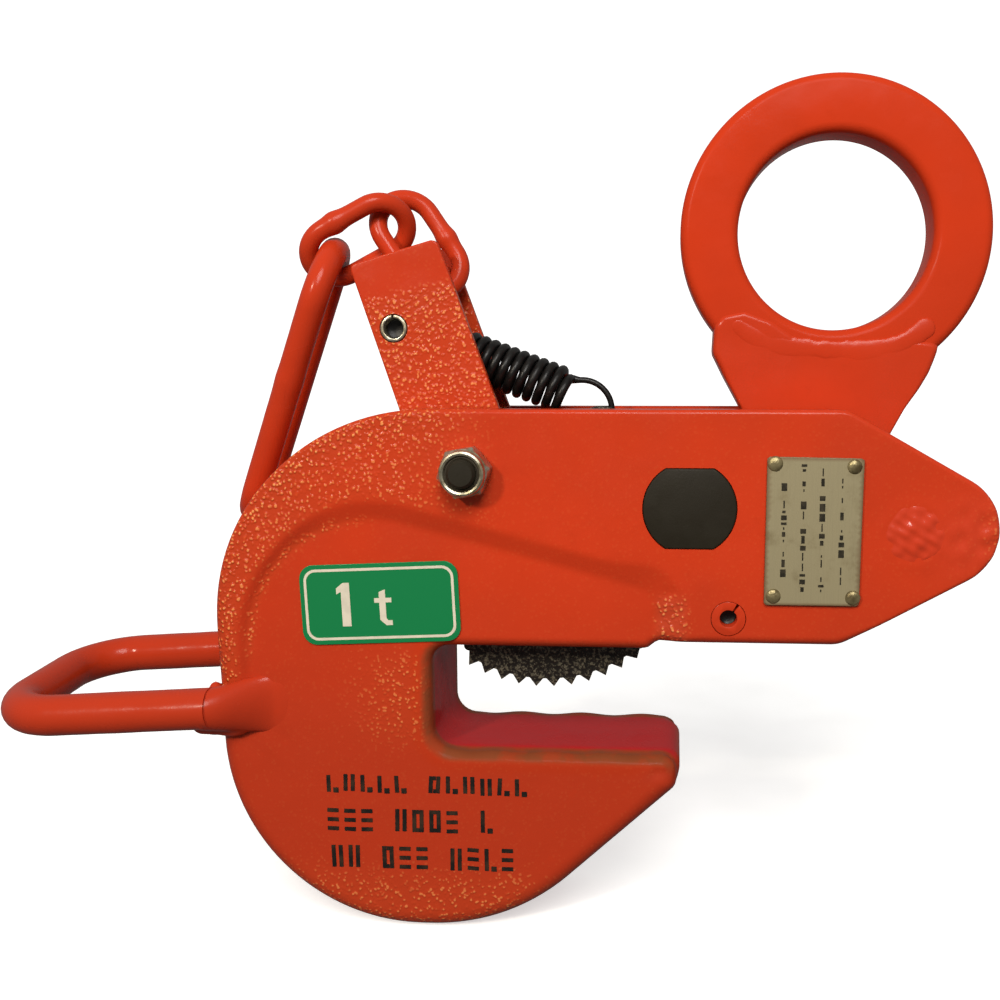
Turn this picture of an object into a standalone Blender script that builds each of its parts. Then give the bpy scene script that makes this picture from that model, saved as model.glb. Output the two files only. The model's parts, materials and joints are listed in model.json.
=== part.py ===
"""Plate lifting clamp as an assembly: forged frame, toothed cam, lifting ring, lock lever, chain and handle.

Lengths in this file are millimetres and are turned into metres where a mesh is made.
+X runs towards the nose, +Y towards the rear face and +Z up. The origin is the centre of the lower jaw's
gripping face, and the clamp's middle plane is Y = 0.
"""

import math

import bmesh
import bpy
from mathutils import Matrix, Vector

MM = 0.001
GAP = 0.3                      # air between two pieces that touch

# Frame
WEB_HALF = 21.5                # half thickness of the jaw and the back of the C
CHEEK_HALF = 23.0              # half thickness over the two raised cheeks
SLOT_HALF = 12.0               # half width of the slot between the cheeks
FRAME_LEFT = -99.3
FRAME_TOP = 97.0
FRAME_BOTTOM = -53.2
BACK_RADIUS_ABOVE = 62.0       # round back of the C
BACK_RADIUS_BELOW = 57.0
ARM_BOTTOM = 32.7
WEB_BOTTOM = 30.3
NOSE_CORNER = (134.0, 64.4)    # where the two sloping edges of the nose would meet
NOSE_RADIUS = 15.5
THROAT_LEFT = -37.5
JAW_TIP = 32.0
SLOT_LEFT = -48.8

# Pivots, as (x, z)
MAIN_PIN = (35.0, 70.2)
LINK_PIN = (70.5, 70.0)
LEVER_BOLT = (-26.0, 80.0)
STOP_PIN = (45.8, 40.0)
SPRING_PIN = (-48.5, 119.4)
ANCHOR_PIN = (8.6, 94.0)
CROSS_BAR = (-38.5, 136.0)
NOSE_PLUG = (95.2, 63.8)
RING_CENTRE = (74.7, 145.6)

# Pins and holes
MAIN_PIN_RADIUS = 12.75
MAIN_PIN_FLAT = 10.95          # middle of the pin to each flat
LINK_PIN_RADIUS = 5.5
BOLT_RADIUS = 4.0
HEX_ACROSS_FLATS = 13.0
STOP_PIN_RADIUS = 4.7
SPRING_PIN_RADIUS = 3.75
ANCHOR_PIN_RADIUS = 1.6
CROSS_BAR_RADIUS = 3.0
PLUG_RADIUS = 8.3

# Cam
CAM_HALF = 7.5
HUB_RADIUS = 21.0
TONGUE_HALF = 3.4
BUSH_OUTER = 15.2
TOOTH_COUNT = 11
TOOTH_DEPTH = 2.4
TOOTH_ARC = (-6.5, 61.0, 45.3)  # centre x, centre z and radius of the circle through the tooth tips
TOOTH_FIRST_DEG = -53.6
TOOTH_LAST_DEG = -119.8

# Lifting ring
RING_OUTER = 42.8
RING_INNER = 26.8
RING_HALF = 7.5
SHANK_HALF = 8.0
LUG_RADIUS = 10.0

# Lock lever
PLATE_INNER = 8.3              # middle plane to the inner face of a lever plate
PLATE_THICKNESS = 3.0

# Chain and pull loop
LINK_LENGTH = 35.0
LINK_WIDTH = 21.5
LINK_WIRE = 2.65
LOOP_LENGTH = 92.0
LOOP_WIDTH = 34.0
LOOP_WIRE = 3.9

# Spring
SPRING_WIRE = 1.12
SPRING_COIL = 5.15             # middle of the wire to the spring's axis
SPRING_PITCH = 3.0
SPRING_TURNS = 14
SPRING_SLOPE_DEG = -20.5

# Carry handle
HANDLE_WIRE = 5.8
HANDLE_REACH = -161.0
HANDLE_ROOT = -80.0
HANDLE_BEND = 17.0

ORANGE = (0.56, 0.042, 0.012)
MATERIALS = {
    "orange_paint": (ORANGE, 0.35, 0.0),
    "black_steel": ((0.02, 0.018, 0.016), 0.55, 0.6),
    "spring_steel": ((0.012, 0.012, 0.012), 0.35, 0.7),
    "zinc": ((0.55, 0.54, 0.5), 0.3, 0.9),
    "bronze": ((0.42, 0.27, 0.11), 0.4, 0.9),
    "nylon": ((0.75, 0.75, 0.72), 0.5, 0.0),
    "plate_metal": ((0.36, 0.34, 0.24), 0.45, 0.6),
    "label_green": ((0.003, 0.2, 0.06), 0.4, 0.0),
}


# ---------------------------------------------------------------- outlines

def arc(cx, cz, radius, start_deg, end_deg, steps):
    """Points along a circular arc, both ends included."""
    points = []
    for i in range(steps + 1):
        angle = math.radians(start_deg + (end_deg - start_deg) * i / steps)
        points.append((cx + radius * math.cos(angle), cz + radius * math.sin(angle)))
    return points


def rounded(corners, degrees_per_step=15.0):
    """Outline through (x, z, radius) corners, each corner rounded by its own radius."""
    points = []
    for i, (x, z, radius) in enumerate(corners):
        here = Vector((x, z))
        before = (Vector(corners[i - 1][:2]) - here).normalized()
        after = (Vector(corners[(i + 1) % len(corners)][:2]) - here).normalized()
        half = before.angle(after) / 2
        if radius <= 0 or abs(half - math.pi / 2) < 0.01:
            points.append((x, z))
            continue
        middle = here + (before + after).normalized() * (radius / math.sin(half))
        first = here + before * (radius / math.tan(half)) - middle
        turn = math.pi - 2 * half
        side = 1.0 if before.cross(after) < 0 else -1.0
        steps = max(2, math.ceil(math.degrees(turn) / degrees_per_step))
        for k in range(steps + 1):
            spoke = Matrix.Rotation(side * turn * k / steps, 2) @ first
            points.append(tuple(middle + spoke))
    return points


def circle(centre, radius, steps=32, phase_deg=0.0):
    """Closed circle outline."""
    return arc(centre[0], centre[1], radius, phase_deg, phase_deg + 360.0, steps)[:-1]


def signed_area(outline):
    total = 0.0
    for (x0, z0), (x1, z1) in zip(outline, outline[1:] + outline[:1]):
        total += x0 * z1 - x1 * z0
    return total / 2


def inset(outline, distance):
    """Outline moved into its own material by a distance."""
    side = 1.0 if signed_area(outline) > 0 else -1.0
    points = []
    count = len(outline)
    for i in range(count):
        here = Vector(outline[i])
        before = (here - Vector(outline[i - 1])).normalized()
        after = (Vector(outline[(i + 1) % count]) - here).normalized()
        normal = Vector((-before.y - after.y, before.x + after.x)).normalized()
        scale = max(0.5, normal.dot(Vector((-before.y, before.x))))
        points.append(tuple(here + normal * (side * distance / scale)))
    return points


# ---------------------------------------------------------------- solids

def add_ring(bm, outline, y):
    return [bm.verts.new((x, y, z)) for x, z in outline]


def bridge(bm, first, second):
    """Quads between two rings of the same length."""
    count = len(first)
    for i in range(count):
        j = (i + 1) % count
        bm.faces.new((first[i], first[j], second[j], second[i]))


def stack(layers):
    """Closed solid through (outline, y) layers, capped at both ends."""
    bm = bmesh.new()
    rings = [add_ring(bm, outline, y) for outline, y in layers]
    for first, second in zip(rings, rings[1:]):
        bridge(bm, first, second)
    bm.faces.new(list(reversed(rings[0])))
    bm.faces.new(rings[-1])
    return bm


def prism(outline, y0, y1):
    return stack([(outline, y0), (outline, y1)])


def rounded_prism(outline, half, edge, steps=3):
    """Slab of half thickness `half` about Y = 0, with quarter-round edges."""
    layers = []
    for i in range(steps + 1):
        angle = math.pi / 2 * i / steps
        layers.append((inset(outline, edge * (1 - math.sin(angle))), -half + edge * (1 - math.cos(angle))))
    layers += [(ring, -y) for ring, y in reversed(layers)]
    return stack(layers)


def pipe_solid(centre, outer, inner, y0, y1, steps=32):
    """Straight round tube along Y."""
    bm = bmesh.new()
    rings = []
    for radius, y in ((outer, y0), (outer, y1), (inner, y1), (inner, y0)):
        rings.append(add_ring(bm, circle(centre, radius, steps), y))
    for first, second in zip(rings, rings[1:] + rings[:1]):
        bridge(bm, first, second)
    return bm


def sweep(points, radius, sides=10, closed=False):
    """Round rod along a route; an open rod is capped."""
    bm = bmesh.new()
    count = len(points)
    route = [Vector(p) for p in points]
    tangents = []
    for i in range(count):
        if closed:
            ahead, behind = route[(i + 1) % count], route[i - 1]
        else:
            ahead, behind = route[min(i + 1, count - 1)], route[max(i - 1, 0)]
        tangents.append((ahead - behind).normalized())
    normal = tangents[0].orthogonal().normalized()
    rings = []
    for i in range(count):
        normal = (normal - tangents[i] * normal.dot(tangents[i])).normalized()
        binormal = tangents[i].cross(normal)
        ring = []
        for k in range(sides):
            angle = 2 * math.pi * k / sides
            ring.append(bm.verts.new(route[i] + (normal * math.cos(angle) + binormal * math.sin(angle)) * radius))
        rings.append(ring)
    for first, second in zip(rings, rings[1:]):
        bridge(bm, first, second)
    if closed:
        bridge_nearest(bm, rings[-1], rings[0])
    else:
        bm.faces.new(list(reversed(rings[0])))
        bm.faces.new(rings[-1])
    return bm


def bridge_nearest(bm, first, second):
    """Join two rings, turning the second so that their nearest points meet."""
    count = len(first)
    shifts = range(count)
    best = min(shifts, key=lambda s: sum((first[i].co - second[(i + s) % count].co).length for i in shifts))
    bridge(bm, first, [second[(i + best) % count] for i in shifts])


def stadium(length, width, wire, end_steps=10):
    """Middle line of a long link that lies in XY, long side along X."""
    bend = width / 2 - wire
    straight = (length - width) / 2
    points = []
    for side, start in ((1, 90.0), (-1, 270.0)):
        for x, y in arc(side * straight, 0.0, bend, start, start - 180.0, end_steps):
            points.append(Vector((x, y, 0.0)))
    return points


def pose(route, centre, slope_deg, lean_deg, roll_deg):
    """Lay a stadium: long axis sloped in XZ, leaned to the rear, then rolled about its own length."""
    slope, lean, roll = (math.radians(v) for v in (slope_deg, lean_deg, roll_deg))
    along = Vector((math.cos(slope) * math.cos(lean), math.sin(lean), math.sin(slope) * math.cos(lean)))
    up = Vector((-math.sin(slope), 0.0, math.cos(slope)))
    across = up * math.cos(roll) + along.cross(up) * math.sin(roll)
    return [Vector(centre) + along * p.x + across * p.y for p in route]


# ---------------------------------------------------------------- objects

def make_material(name):
    colour, roughness, metallic = MATERIALS[name]
    material = bpy.data.materials.new(name)
    material.use_nodes = True
    shader = material.node_tree.nodes["Principled BSDF"]
    shader.inputs["Base Color"].default_value = (*colour, 1.0)
    shader.inputs["Roughness"].default_value = roughness
    shader.inputs["Metallic"].default_value = metallic
    material.diffuse_color = (*colour, 1.0)
    return material


def make_pivot(name, x, z, y=0.0, parent=None):
    """Empty on a joint's axis; the pieces that turn about it are its children."""
    pivot = bpy.data.objects.new(name, None)
    bpy.context.scene.collection.objects.link(pivot)
    world = Vector((x, y, z)) * MM
    pivot["home"] = world
    pivot.parent = parent
    pivot.location = world - (Vector(parent["home"]) if parent else Vector())
    return pivot


def make_object(name, bm, pivot=None):
    """Turn a mesh in millimetres into an object in metres whose origin is its pivot."""
    home = Vector(pivot["home"]) if pivot else Vector()
    bmesh.ops.recalc_face_normals(bm, faces=bm.faces)
    for vert in bm.verts:
        vert.co = vert.co * MM - home
    mesh = bpy.data.meshes.new(name)
    bm.to_mesh(mesh)
    bm.free()
    item = bpy.data.objects.new(name, mesh)
    item.parent = pivot
    bpy.context.scene.collection.objects.link(item)
    return item


def make_part(name, bm, material, pivot=None):
    """One sub-part: its object, its own material and its shading."""
    item = make_object(name, bm, pivot)
    own = make_material(material)
    own.name = name + "_" + material
    item.data.materials.append(own)
    item.data.shade_smooth()
    item.data.set_sharp_from_angle(angle=math.radians(35.0))
    return item


def combine(item, bm, label, operation="DIFFERENCE"):
    """Cut a tool solid from a part, or join it on, with an exact Boolean."""
    tool = make_object(f"tool_{item.name}_{label}", bm, item.parent)
    tool.hide_render = True
    tool.display_type = "WIRE"
    step = item.modifiers.new(label, "BOOLEAN")
    step.operation = operation
    step.solver = "EXACT"
    step.object = tool


def drill(item, centre, radius, label, reach=60.0, steps=32):
    """Round hole right through a part along Y."""
    combine(item, prism(circle(centre, radius, steps), -reach, reach), label)


# ---------------------------------------------------------------- frame

def cheek_outline():
    """Arm, nose and raised rim round the back, all at the full thickness."""
    return rounded([
        (FRAME_LEFT, 26.0, 4.0),
        (FRAME_LEFT, FRAME_TOP, BACK_RADIUS_ABOVE),
        (77.0, FRAME_TOP, 6.0),
        (*NOSE_CORNER, NOSE_RADIUS),
        (76.0, ARM_BOTTOM, 6.0),
        (25.5, ARM_BOTTOM, 4.0),
        (25.5, 47.5, 6.0),
        (-89.5, 77.6, 36.0),
        (-89.5, 26.0, 4.0),
    ], 9.0)


def web_outline():
    """Lower jaw, throat and web; its upper edge ends inside the cheeks."""
    return rounded([
        (FRAME_LEFT + 0.1, FRAME_BOTTOM, BACK_RADIUS_BELOW),
        (-16.2, FRAME_BOTTOM, 60.0),
        (JAW_TIP, -9.6, 4.2),
        (JAW_TIP, 0.0, 4.2),
        (THROAT_LEFT, 0.0, 6.5),
        (THROAT_LEFT, WEB_BOTTOM, 5.0),
        (24.0, WEB_BOTTOM, 4.2),
        (24.0, 56.0, 4.2),
        (-50.0, 76.0, 8.0),
        (-80.0, 66.0, 8.0),
        (-92.0, 44.0, 4.2),
        (FRAME_LEFT + 0.1, 36.0, 4.2),
    ], 9.0)


def double_flat(radius, flat):
    """Circle with a flat above and a flat below, about the main pin."""
    edge = math.degrees(math.asin(flat / radius))
    x, z = MAIN_PIN
    return arc(x, z, radius, -edge, edge, 10) + arc(x, z, radius, 180 - edge, 180 + edge, 10)


def build_frame():
    frame = make_part("frame_casting", rounded_prism(web_outline(), WEB_HALF, 3.2), "orange_paint")
    combine(frame, rounded_prism(cheek_outline(), CHEEK_HALF, 3.5), "cheeks", "UNION")
    slot = [(SLOT_LEFT, 130.0), (SLOT_LEFT, 42.0), (-37.2, 28.0), (-37.2, 20.0), (150.0, 20.0), (150.0, 130.0)]
    combine(frame, prism(slot, -SLOT_HALF, SLOT_HALF), "slot")
    combine(frame, prism(double_flat(MAIN_PIN_RADIUS + GAP, MAIN_PIN_FLAT + GAP), -60, 60), "main_pin_hole")
    drill(frame, LEVER_BOLT, BOLT_RADIUS + GAP, "bolt_hole", steps=20)
    drill(frame, STOP_PIN, STOP_PIN_RADIUS + GAP, "stop_pin_hole", steps=20)
    drill(frame, NOSE_PLUG, PLUG_RADIUS + GAP, "plug_hole")


def build_nose():
    """Filler between the cheeks, and the round plug welds that hold it."""
    filler = rounded([
        (88.0, 42.5, 2.0),
        (88.0, 60.5, 2.0),
        (103.0, 73.0, 3.0),
        (112.5, 73.5, 4.0),
        (114.5, 64.0, 6.0),
        (111.0, 55.5, 5.0),
    ])
    make_part("nose_filler", prism(filler, -SLOT_HALF + GAP, SLOT_HALF - GAP), "orange_paint")
    for name, side in (("nose_plug_front", -1), ("nose_plug_rear", 1)):
        plug = prism(circle(NOSE_PLUG, PLUG_RADIUS), side * (SLOT_HALF + 0.1), side * CHEEK_HALF)
        make_part(name, plug, "orange_paint")


def build_pins():
    """Fixed pins of the frame: double-flat main pin and slotted stop pin."""
    pin = prism(double_flat(MAIN_PIN_RADIUS, MAIN_PIN_FLAT), -CHEEK_HALF - 0.4, CHEEK_HALF + 0.4)
    make_part("main_pin", pin, "black_steel")
    for name, side in (("cam_spacer_front", -1), ("cam_spacer_rear", 1)):
        washer = pipe_solid(MAIN_PIN, 17.0, MAIN_PIN_RADIUS + GAP, side * (CAM_HALF + GAP), side * (SLOT_HALF - GAP))
        make_part(name, washer, "bronze")
    make_part("stop_pin", slotted_tube(STOP_PIN, STOP_PIN_RADIUS, 2.2, CHEEK_HALF - 0.4, 55.0, 16.0), "orange_paint")


def slotted_tube(centre, outer, inner, half, slot_deg, slot_width_deg):
    """Rolled spring pin: a tube with a slot along its length."""
    start = slot_deg + slot_width_deg / 2
    end = slot_deg + 360.0 - slot_width_deg / 2
    outline = arc(*centre, outer, start, end, 24) + arc(*centre, inner, end, start, 24)
    return prism(outline, -half, half)


def build_handle():
    """U-shaped carry handle and the two weld fillets that hold its legs to the frame's faces."""
    leg_y = WEB_HALF + HANDLE_WIRE + GAP
    corner = HANDLE_REACH + HANDLE_BEND
    route = [(HANDLE_ROOT, leg_y)]
    route += arc(corner, leg_y - HANDLE_BEND, HANDLE_BEND, 90, 180, 8)
    route += arc(corner, HANDLE_BEND - leg_y, HANDLE_BEND, 180, 270, 8)
    route += [(HANDLE_ROOT, -leg_y)]
    points = [(x, y, handle_height(x, y)) for x, y in route]
    make_part("carry_handle", sweep(points, HANDLE_WIRE, 14), "orange_paint")
    for name, side in (("handle_weld_front", -1), ("handle_weld_rear", 1)):
        face = side * (WEB_HALF + GAP)
        height = handle_height(HANDLE_ROOT, side * leg_y)
        fillet = []
        for offset, y in ((5.0, face), (4.2, face + side * 3.0), (2.0, face + side * 6.5)):
            fillet.append((circle((HANDLE_ROOT + 0.4 + offset, height), offset, 20), y))
        make_part(name, stack(fillet), "orange_paint")


def handle_height(x, y):
    """The handle rises towards the frame, and its rear leg sits a little higher."""
    return 14.1 + (x + 120.0) * 0.065 + y * 0.08


# ---------------------------------------------------------------- cam

def cam_outline():
    cx, cz, radius = TOOTH_ARC
    step = (TOOTH_LAST_DEG - TOOTH_FIRST_DEG) / (TOOTH_COUNT - 1)
    teeth = []
    for i in range(TOOTH_COUNT):
        tip = TOOTH_FIRST_DEG + step * i
        teeth += arc(cx, cz, radius, tip, tip, 1)[:1]
        if i < TOOTH_COUNT - 1:
            teeth += arc(cx, cz, radius - TOOTH_DEPTH, tip + step * 0.42, tip + step * 0.62, 1)
    hub_top = [(x, z, 0.0) for x, z in arc(*MAIN_PIN, HUB_RADIUS, 95.0, 24.0, 8)]
    hub_foot = [(x, z, 0.0) for x, z in arc(*MAIN_PIN, HUB_RADIUS, -26.0, -94.0, 8)]
    body = rounded([
        (-30.4, 26.0, 1.5),
        (-30.4, 34.0, 8.0),
        (-20.0, 54.0, 20.0),
        (4.0, 86.0, 5.0),
        (5.2, 97.3, 3.2),
        (12.0, 97.3, 3.2),
        (22.0, 91.2, 4.0),
        *hub_top,
        (79.5, 79.0, 8.5),
        (79.5, 61.0, 8.5),
        *hub_foot,
        (22.0, 27.5, 1.5),
    ], 12.0)
    return teeth + body


def build_cam():
    pivot = make_pivot("cam_axis", *MAIN_PIN)
    cam = make_part("toothed_cam", prism(cam_outline(), -CAM_HALF, CAM_HALF), "black_steel", pivot)
    drill(cam, MAIN_PIN, BUSH_OUTER + GAP, "bore")
    drill(cam, LINK_PIN, LINK_PIN_RADIUS + GAP, "link_pin_hole", steps=24)
    drill(cam, ANCHOR_PIN, ANCHOR_PIN_RADIUS + GAP, "anchor_hole", steps=12)
    for label, side in (("tongue_front", -1), ("tongue_rear", 1)):
        combine(cam, prism(circle(LINK_PIN, 17.0), side * TONGUE_HALF, side * 20.0), label)
    groove = [(-12.0, 84.6), (16.5, 84.6), (16.5, 110.0), (-12.0, 110.0)]
    combine(cam, prism(groove, -1.6, 1.6), "hook_groove")
    bush = pipe_solid(MAIN_PIN, BUSH_OUTER, MAIN_PIN_RADIUS + GAP, 0.1 - CAM_HALF, CAM_HALF - 0.1)
    make_part("cam_bush", bush, "bronze", pivot)
    anchor = prism(circle(ANCHOR_PIN, ANCHOR_PIN_RADIUS, 12), 0.2 - CAM_HALF, CAM_HALF - 0.2)
    make_part("spring_anchor_pin", anchor, "black_steel", pivot)
    return pivot


# ---------------------------------------------------------------- lifting ring

def shank_outline():
    """Tapering plate whose top follows the ring and whose foot is round about the link pin."""
    cx, cz = RING_CENTRE
    top = arc(cx, cz, RING_OUTER + GAP, 219.0, 315.5, 20)
    foot = arc(*LINK_PIN, LUG_RADIUS, -26.0, -152.0, 12)
    return top + [(94.5, 97.5)] + foot + [(56.5, 87.0), (49.6, 96.6)]


def build_ring(cam_pivot):
    pivot = make_pivot("ring_axis", *LINK_PIN, parent=cam_pivot)
    bm = bmesh.new()
    section = rounded([
        (RING_INNER, -RING_HALF, 3.0),
        (RING_OUTER, -RING_HALF, 3.0),
        (RING_OUTER, RING_HALF, 3.0),
        (RING_INNER, RING_HALF, 3.0),
    ], 30.0)
    rings = []
    turns = 56
    for i in range(turns):
        angle = 2 * math.pi * i / turns
        spoke = Vector((math.cos(angle), 0.0, math.sin(angle)))
        centre = Vector((RING_CENTRE[0], 0.0, RING_CENTRE[1]))
        rings.append([bm.verts.new(centre + spoke * r + Vector((0.0, y, 0.0))) for r, y in section])
    for first, second in zip(rings, rings[1:] + rings[:1]):
        bridge(bm, first, second)
    make_part("lifting_ring", bm, "orange_paint", pivot)
    shank = make_part("ring_shank", prism(shank_outline(), -SHANK_HALF, SHANK_HALF), "orange_paint", pivot)
    fork = [(45.0, 50.0), (100.0, 50.0), (100.0, 86.0), (45.0, 86.0)]
    combine(shank, prism(fork, -TONGUE_HALF - GAP, TONGUE_HALF + GAP), "fork")
    drill(shank, LINK_PIN, LINK_PIN_RADIUS + GAP, "link_pin_hole", steps=24)
    link_pin = prism(circle(LINK_PIN, LINK_PIN_RADIUS, 24), -SHANK_HALF, SHANK_HALF)
    make_part("link_pin", link_pin, "black_steel", pivot)
    for name, side in (("ring_weld_front", -1), ("ring_weld_rear", 1)):
        face = side * (RING_HALF + GAP)
        outer = arc(*RING_CENTRE, RING_OUTER - 1.0, 221.0, 313.0, 20)
        inner = arc(*RING_CENTRE, RING_INNER + 4.8, 306.0, 228.0, 20)
        bead = stack([(outer + inner, face), (inset(outer + inner, 1.2), face + side * 1.2)])
        make_part(name, bead, "orange_paint", pivot)


# ---------------------------------------------------------------- lock lever

def lever_outline():
    return rounded([
        (-61.0, 137.0, 1.5),
        (-36.1, 144.2, 2.0),
        (-8.0, 67.4, 12.6),
        (-38.6, 67.4, 12.6),
        (-43.2, 84.0, 12.0),
    ], 12.0)


def build_lever():
    pivot = make_pivot("lever_axis", *LEVER_BOLT)
    for name, side in (("lever_front_plate", -1), ("lever_rear_plate", 1)):
        solid = prism(lever_outline(), side * PLATE_INNER, side * (PLATE_INNER + PLATE_THICKNESS))
        plate = make_part(name, solid, "orange_paint", pivot)
        drill(plate, LEVER_BOLT, BOLT_RADIUS + GAP, "bolt_hole", steps=20)
        drill(plate, SPRING_PIN, SPRING_PIN_RADIUS + GAP, "spring_pin_hole", steps=24)
    inner = PLATE_INNER - GAP
    make_part("lever_cross_bar", prism(circle(CROSS_BAR, CROSS_BAR_RADIUS, 20), -inner, inner), "orange_paint", pivot)
    make_part("lever_bush", pipe_solid(LEVER_BOLT, 6.2, BOLT_RADIUS + GAP, -inner, inner, 24), "zinc", pivot)
    outer = PLATE_INNER + PLATE_THICKNESS
    make_part("lever_spring_pin", slotted_tube(SPRING_PIN, SPRING_PIN_RADIUS, 2.5, outer, 95.0, 18.0), "zinc", pivot)
    return pivot


def hexagon(phase_deg):
    corner = HEX_ACROSS_FLATS / math.sqrt(3.0)
    return circle(LEVER_BOLT, corner, 6, phase_deg)


def build_bolt():
    """Hexagon bolt from the rear, and its lock nut with a nylon ring at the front."""
    seat = CHEEK_HALF + GAP
    bolt = make_part("pivot_bolt", prism(circle(LEVER_BOLT, BOLT_RADIUS, 20), -32.8, seat + 1.0), "zinc")
    combine(bolt, prism(hexagon(0.0), seat, seat + 5.3), "head", "UNION")
    nut = make_part("lock_nut", prism(hexagon(10.0), -seat - 6.2, -seat), "zinc")
    combine(nut, prism(circle(LEVER_BOLT, 6.25, 24), -seat - 8.2, -seat - 3.0), "collar", "UNION")
    drill(nut, LEVER_BOLT, BOLT_RADIUS + GAP, "bore", steps=20)
    combine(nut, prism(circle(LEVER_BOLT, 5.6, 24), -seat - 12.0, -seat - 6.0), "ring_seat")
    ring = pipe_solid(LEVER_BOLT, 5.3, BOLT_RADIUS + GAP, -seat - 7.9, -seat - 6.3, 24)
    make_part("nut_nylon_ring", ring, "nylon")


# ---------------------------------------------------------------- spring

def build_spring(lever_pivot):
    """Tension spring from the lever's pin to the cam's anchor pin."""
    slope = math.radians(SPRING_SLOPE_DEG)
    along = Vector((math.cos(slope), 0.0, math.sin(slope)))
    up = Vector((-math.sin(slope), 0.0, math.cos(slope)))
    rear = Vector((0.0, 1.0, 0.0))
    pin = Vector((SPRING_PIN[0], 0.0, SPRING_PIN[1]))
    start = pin + along * 9.0
    route = []
    hook = pin + along * 0.8
    for i in range(13):
        angle = math.radians(-40.0 - 20.0 * i)
        route.append(hook + (along * math.cos(angle) + up * math.sin(angle)) * 6.0)
    per_turn = 12
    count = per_turn * SPRING_TURNS
    for i in range(count + 1):
        angle = 2 * math.pi * i / per_turn
        radius = SPRING_COIL - 1.75 * max(0.0, 1.0 - (count - i) / 4.0)
        spoke = up * math.cos(angle) + rear * math.sin(angle)
        route.append(start + along * (SPRING_PITCH * i / per_turn) + spoke * radius)
    for x, z in arc(3.9, 96.3, 8.6, 94.0, -120.0, 16):
        route.append(Vector((x, 0.0, z)))
    make_part("tension_spring", sweep(route, SPRING_WIRE, 6), "spring_steel", lever_pivot)


# ---------------------------------------------------------------- chain and pull loop

def build_chain(lever_pivot):
    """Two links from the lever's cross bar, and the long pull loop that hangs from them."""
    link = stadium(LINK_LENGTH, LINK_WIDTH, LINK_WIRE)
    upper = pose(link, (-42.9, -1.3, 143.4), 123.8, 1.4, 26.1)
    outer = pose(link, (-59.8, -5.1, 144.5), 28.9, 6.1, 40.1)
    loop = pose(stadium(LOOP_LENGTH, LOOP_WIDTH, LOOP_WIRE), (-82.4, 2.5, 103.5), 66.4, -14.2, 101.9)
    first = make_pivot("first_link_axis", *CROSS_BAR, parent=lever_pivot)
    second = make_pivot("second_link_axis", -51.4, 155.4, -1.2, parent=first)
    third = make_pivot("pull_loop_axis", -66.9, 141.3, -4.2, parent=second)
    make_part("first_chain_link", sweep(upper, LINK_WIRE, 10, True), "orange_paint", first)
    make_part("second_chain_link", sweep(outer, LINK_WIRE, 10, True), "orange_paint", second)
    make_part("pull_loop", sweep(loop, LOOP_WIRE, 12, True), "orange_paint", third)


# ---------------------------------------------------------------- plates

RIVETS = ((57.7, 82.7), (78.7, 82.0), (57.7, 46.7), (79.0, 46.5))


def build_name_plate():
    face = -CHEEK_HALF - GAP
    outline = rounded([(55.2, 44.2, 1.0), (81.3, 44.2, 1.0), (81.3, 84.6, 1.0), (55.2, 84.6, 1.0)], 30.0)
    plate = make_part("name_plate", prism(outline, face - 0.8, face), "plate_metal")
    for i, (x, z) in enumerate(RIVETS):
        drill(plate, (x, z), 1.2, f"rivet_hole_{i + 1}", steps=12)
        dome = face - 0.8 - GAP
        layers = [(circle((x, z), 0.9, 12), face), (circle((x, z), 0.9, 12), dome)]
        for radius, rise in ((1.9, 0.0), (1.6, 0.6), (0.9, 1.0)):
            layers.append((circle((x, z), radius, 12), dome - rise - 0.01))
        make_part(f"plate_rivet_{i + 1}", stack(layers), "zinc")


def build_label():
    """Capacity label on the web, turned a little with the slope of the rim."""
    half_x, half_z, turn = 22.6, 10.9, Matrix.Rotation(math.radians(2.6), 2)
    corners = []
    for x, z in ((-half_x, -half_z), (half_x, -half_z), (half_x, half_z), (-half_x, half_z)):
        place = turn @ Vector((x, z)) + Vector((-51.4, 41.8))
        corners.append((place.x, place.y, 4.0))
    face = -WEB_HALF - GAP
    make_part("capacity_label", prism(rounded(corners), face - 0.4, face), "label_green")


def main():
    for item in list(bpy.data.objects):
        bpy.data.objects.remove(item, do_unlink=True)
    build_frame()
    build_nose()
    build_pins()
    build_handle()
    cam_pivot = build_cam()
    build_ring(cam_pivot)
    lever_pivot = build_lever()
    build_bolt()
    build_spring(lever_pivot)
    build_chain(lever_pivot)
    build_name_plate()
    build_label()


main()
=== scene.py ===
"""Plate lifting clamp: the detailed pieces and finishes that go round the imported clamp.

Lengths in this file are millimetres unless a name says otherwise, and turn into metres where a mesh
is made. +X runs towards the nose, +Y towards the rear face and +Z up. The origin is the middle of the
jaw's face.
"""

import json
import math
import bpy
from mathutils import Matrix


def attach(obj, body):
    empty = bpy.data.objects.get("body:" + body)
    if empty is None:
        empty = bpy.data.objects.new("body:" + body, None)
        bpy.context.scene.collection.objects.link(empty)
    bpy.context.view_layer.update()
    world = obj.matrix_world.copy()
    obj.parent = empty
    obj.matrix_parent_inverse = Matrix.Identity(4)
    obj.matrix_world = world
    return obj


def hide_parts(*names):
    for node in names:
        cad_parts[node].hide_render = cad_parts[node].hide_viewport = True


bl_info = {
    "name": "Plate lifting clamp",
    "version": (1, 0, 0),
    "blender": (4, 5, 0),
    "location": "3D View > Sidebar > Lifting clamp",
    "description": "Builds the painted pieces of a plate lifting clamp round its packed frame",
    "category": "Object",
}

import bmesh
import bpy
import numpy as np
from bpy.props import FloatProperty, FloatVectorProperty, IntProperty, PointerProperty
from mathutils import Matrix, Vector
from mathutils.geometry import delaunay_2d_cdt

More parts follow.
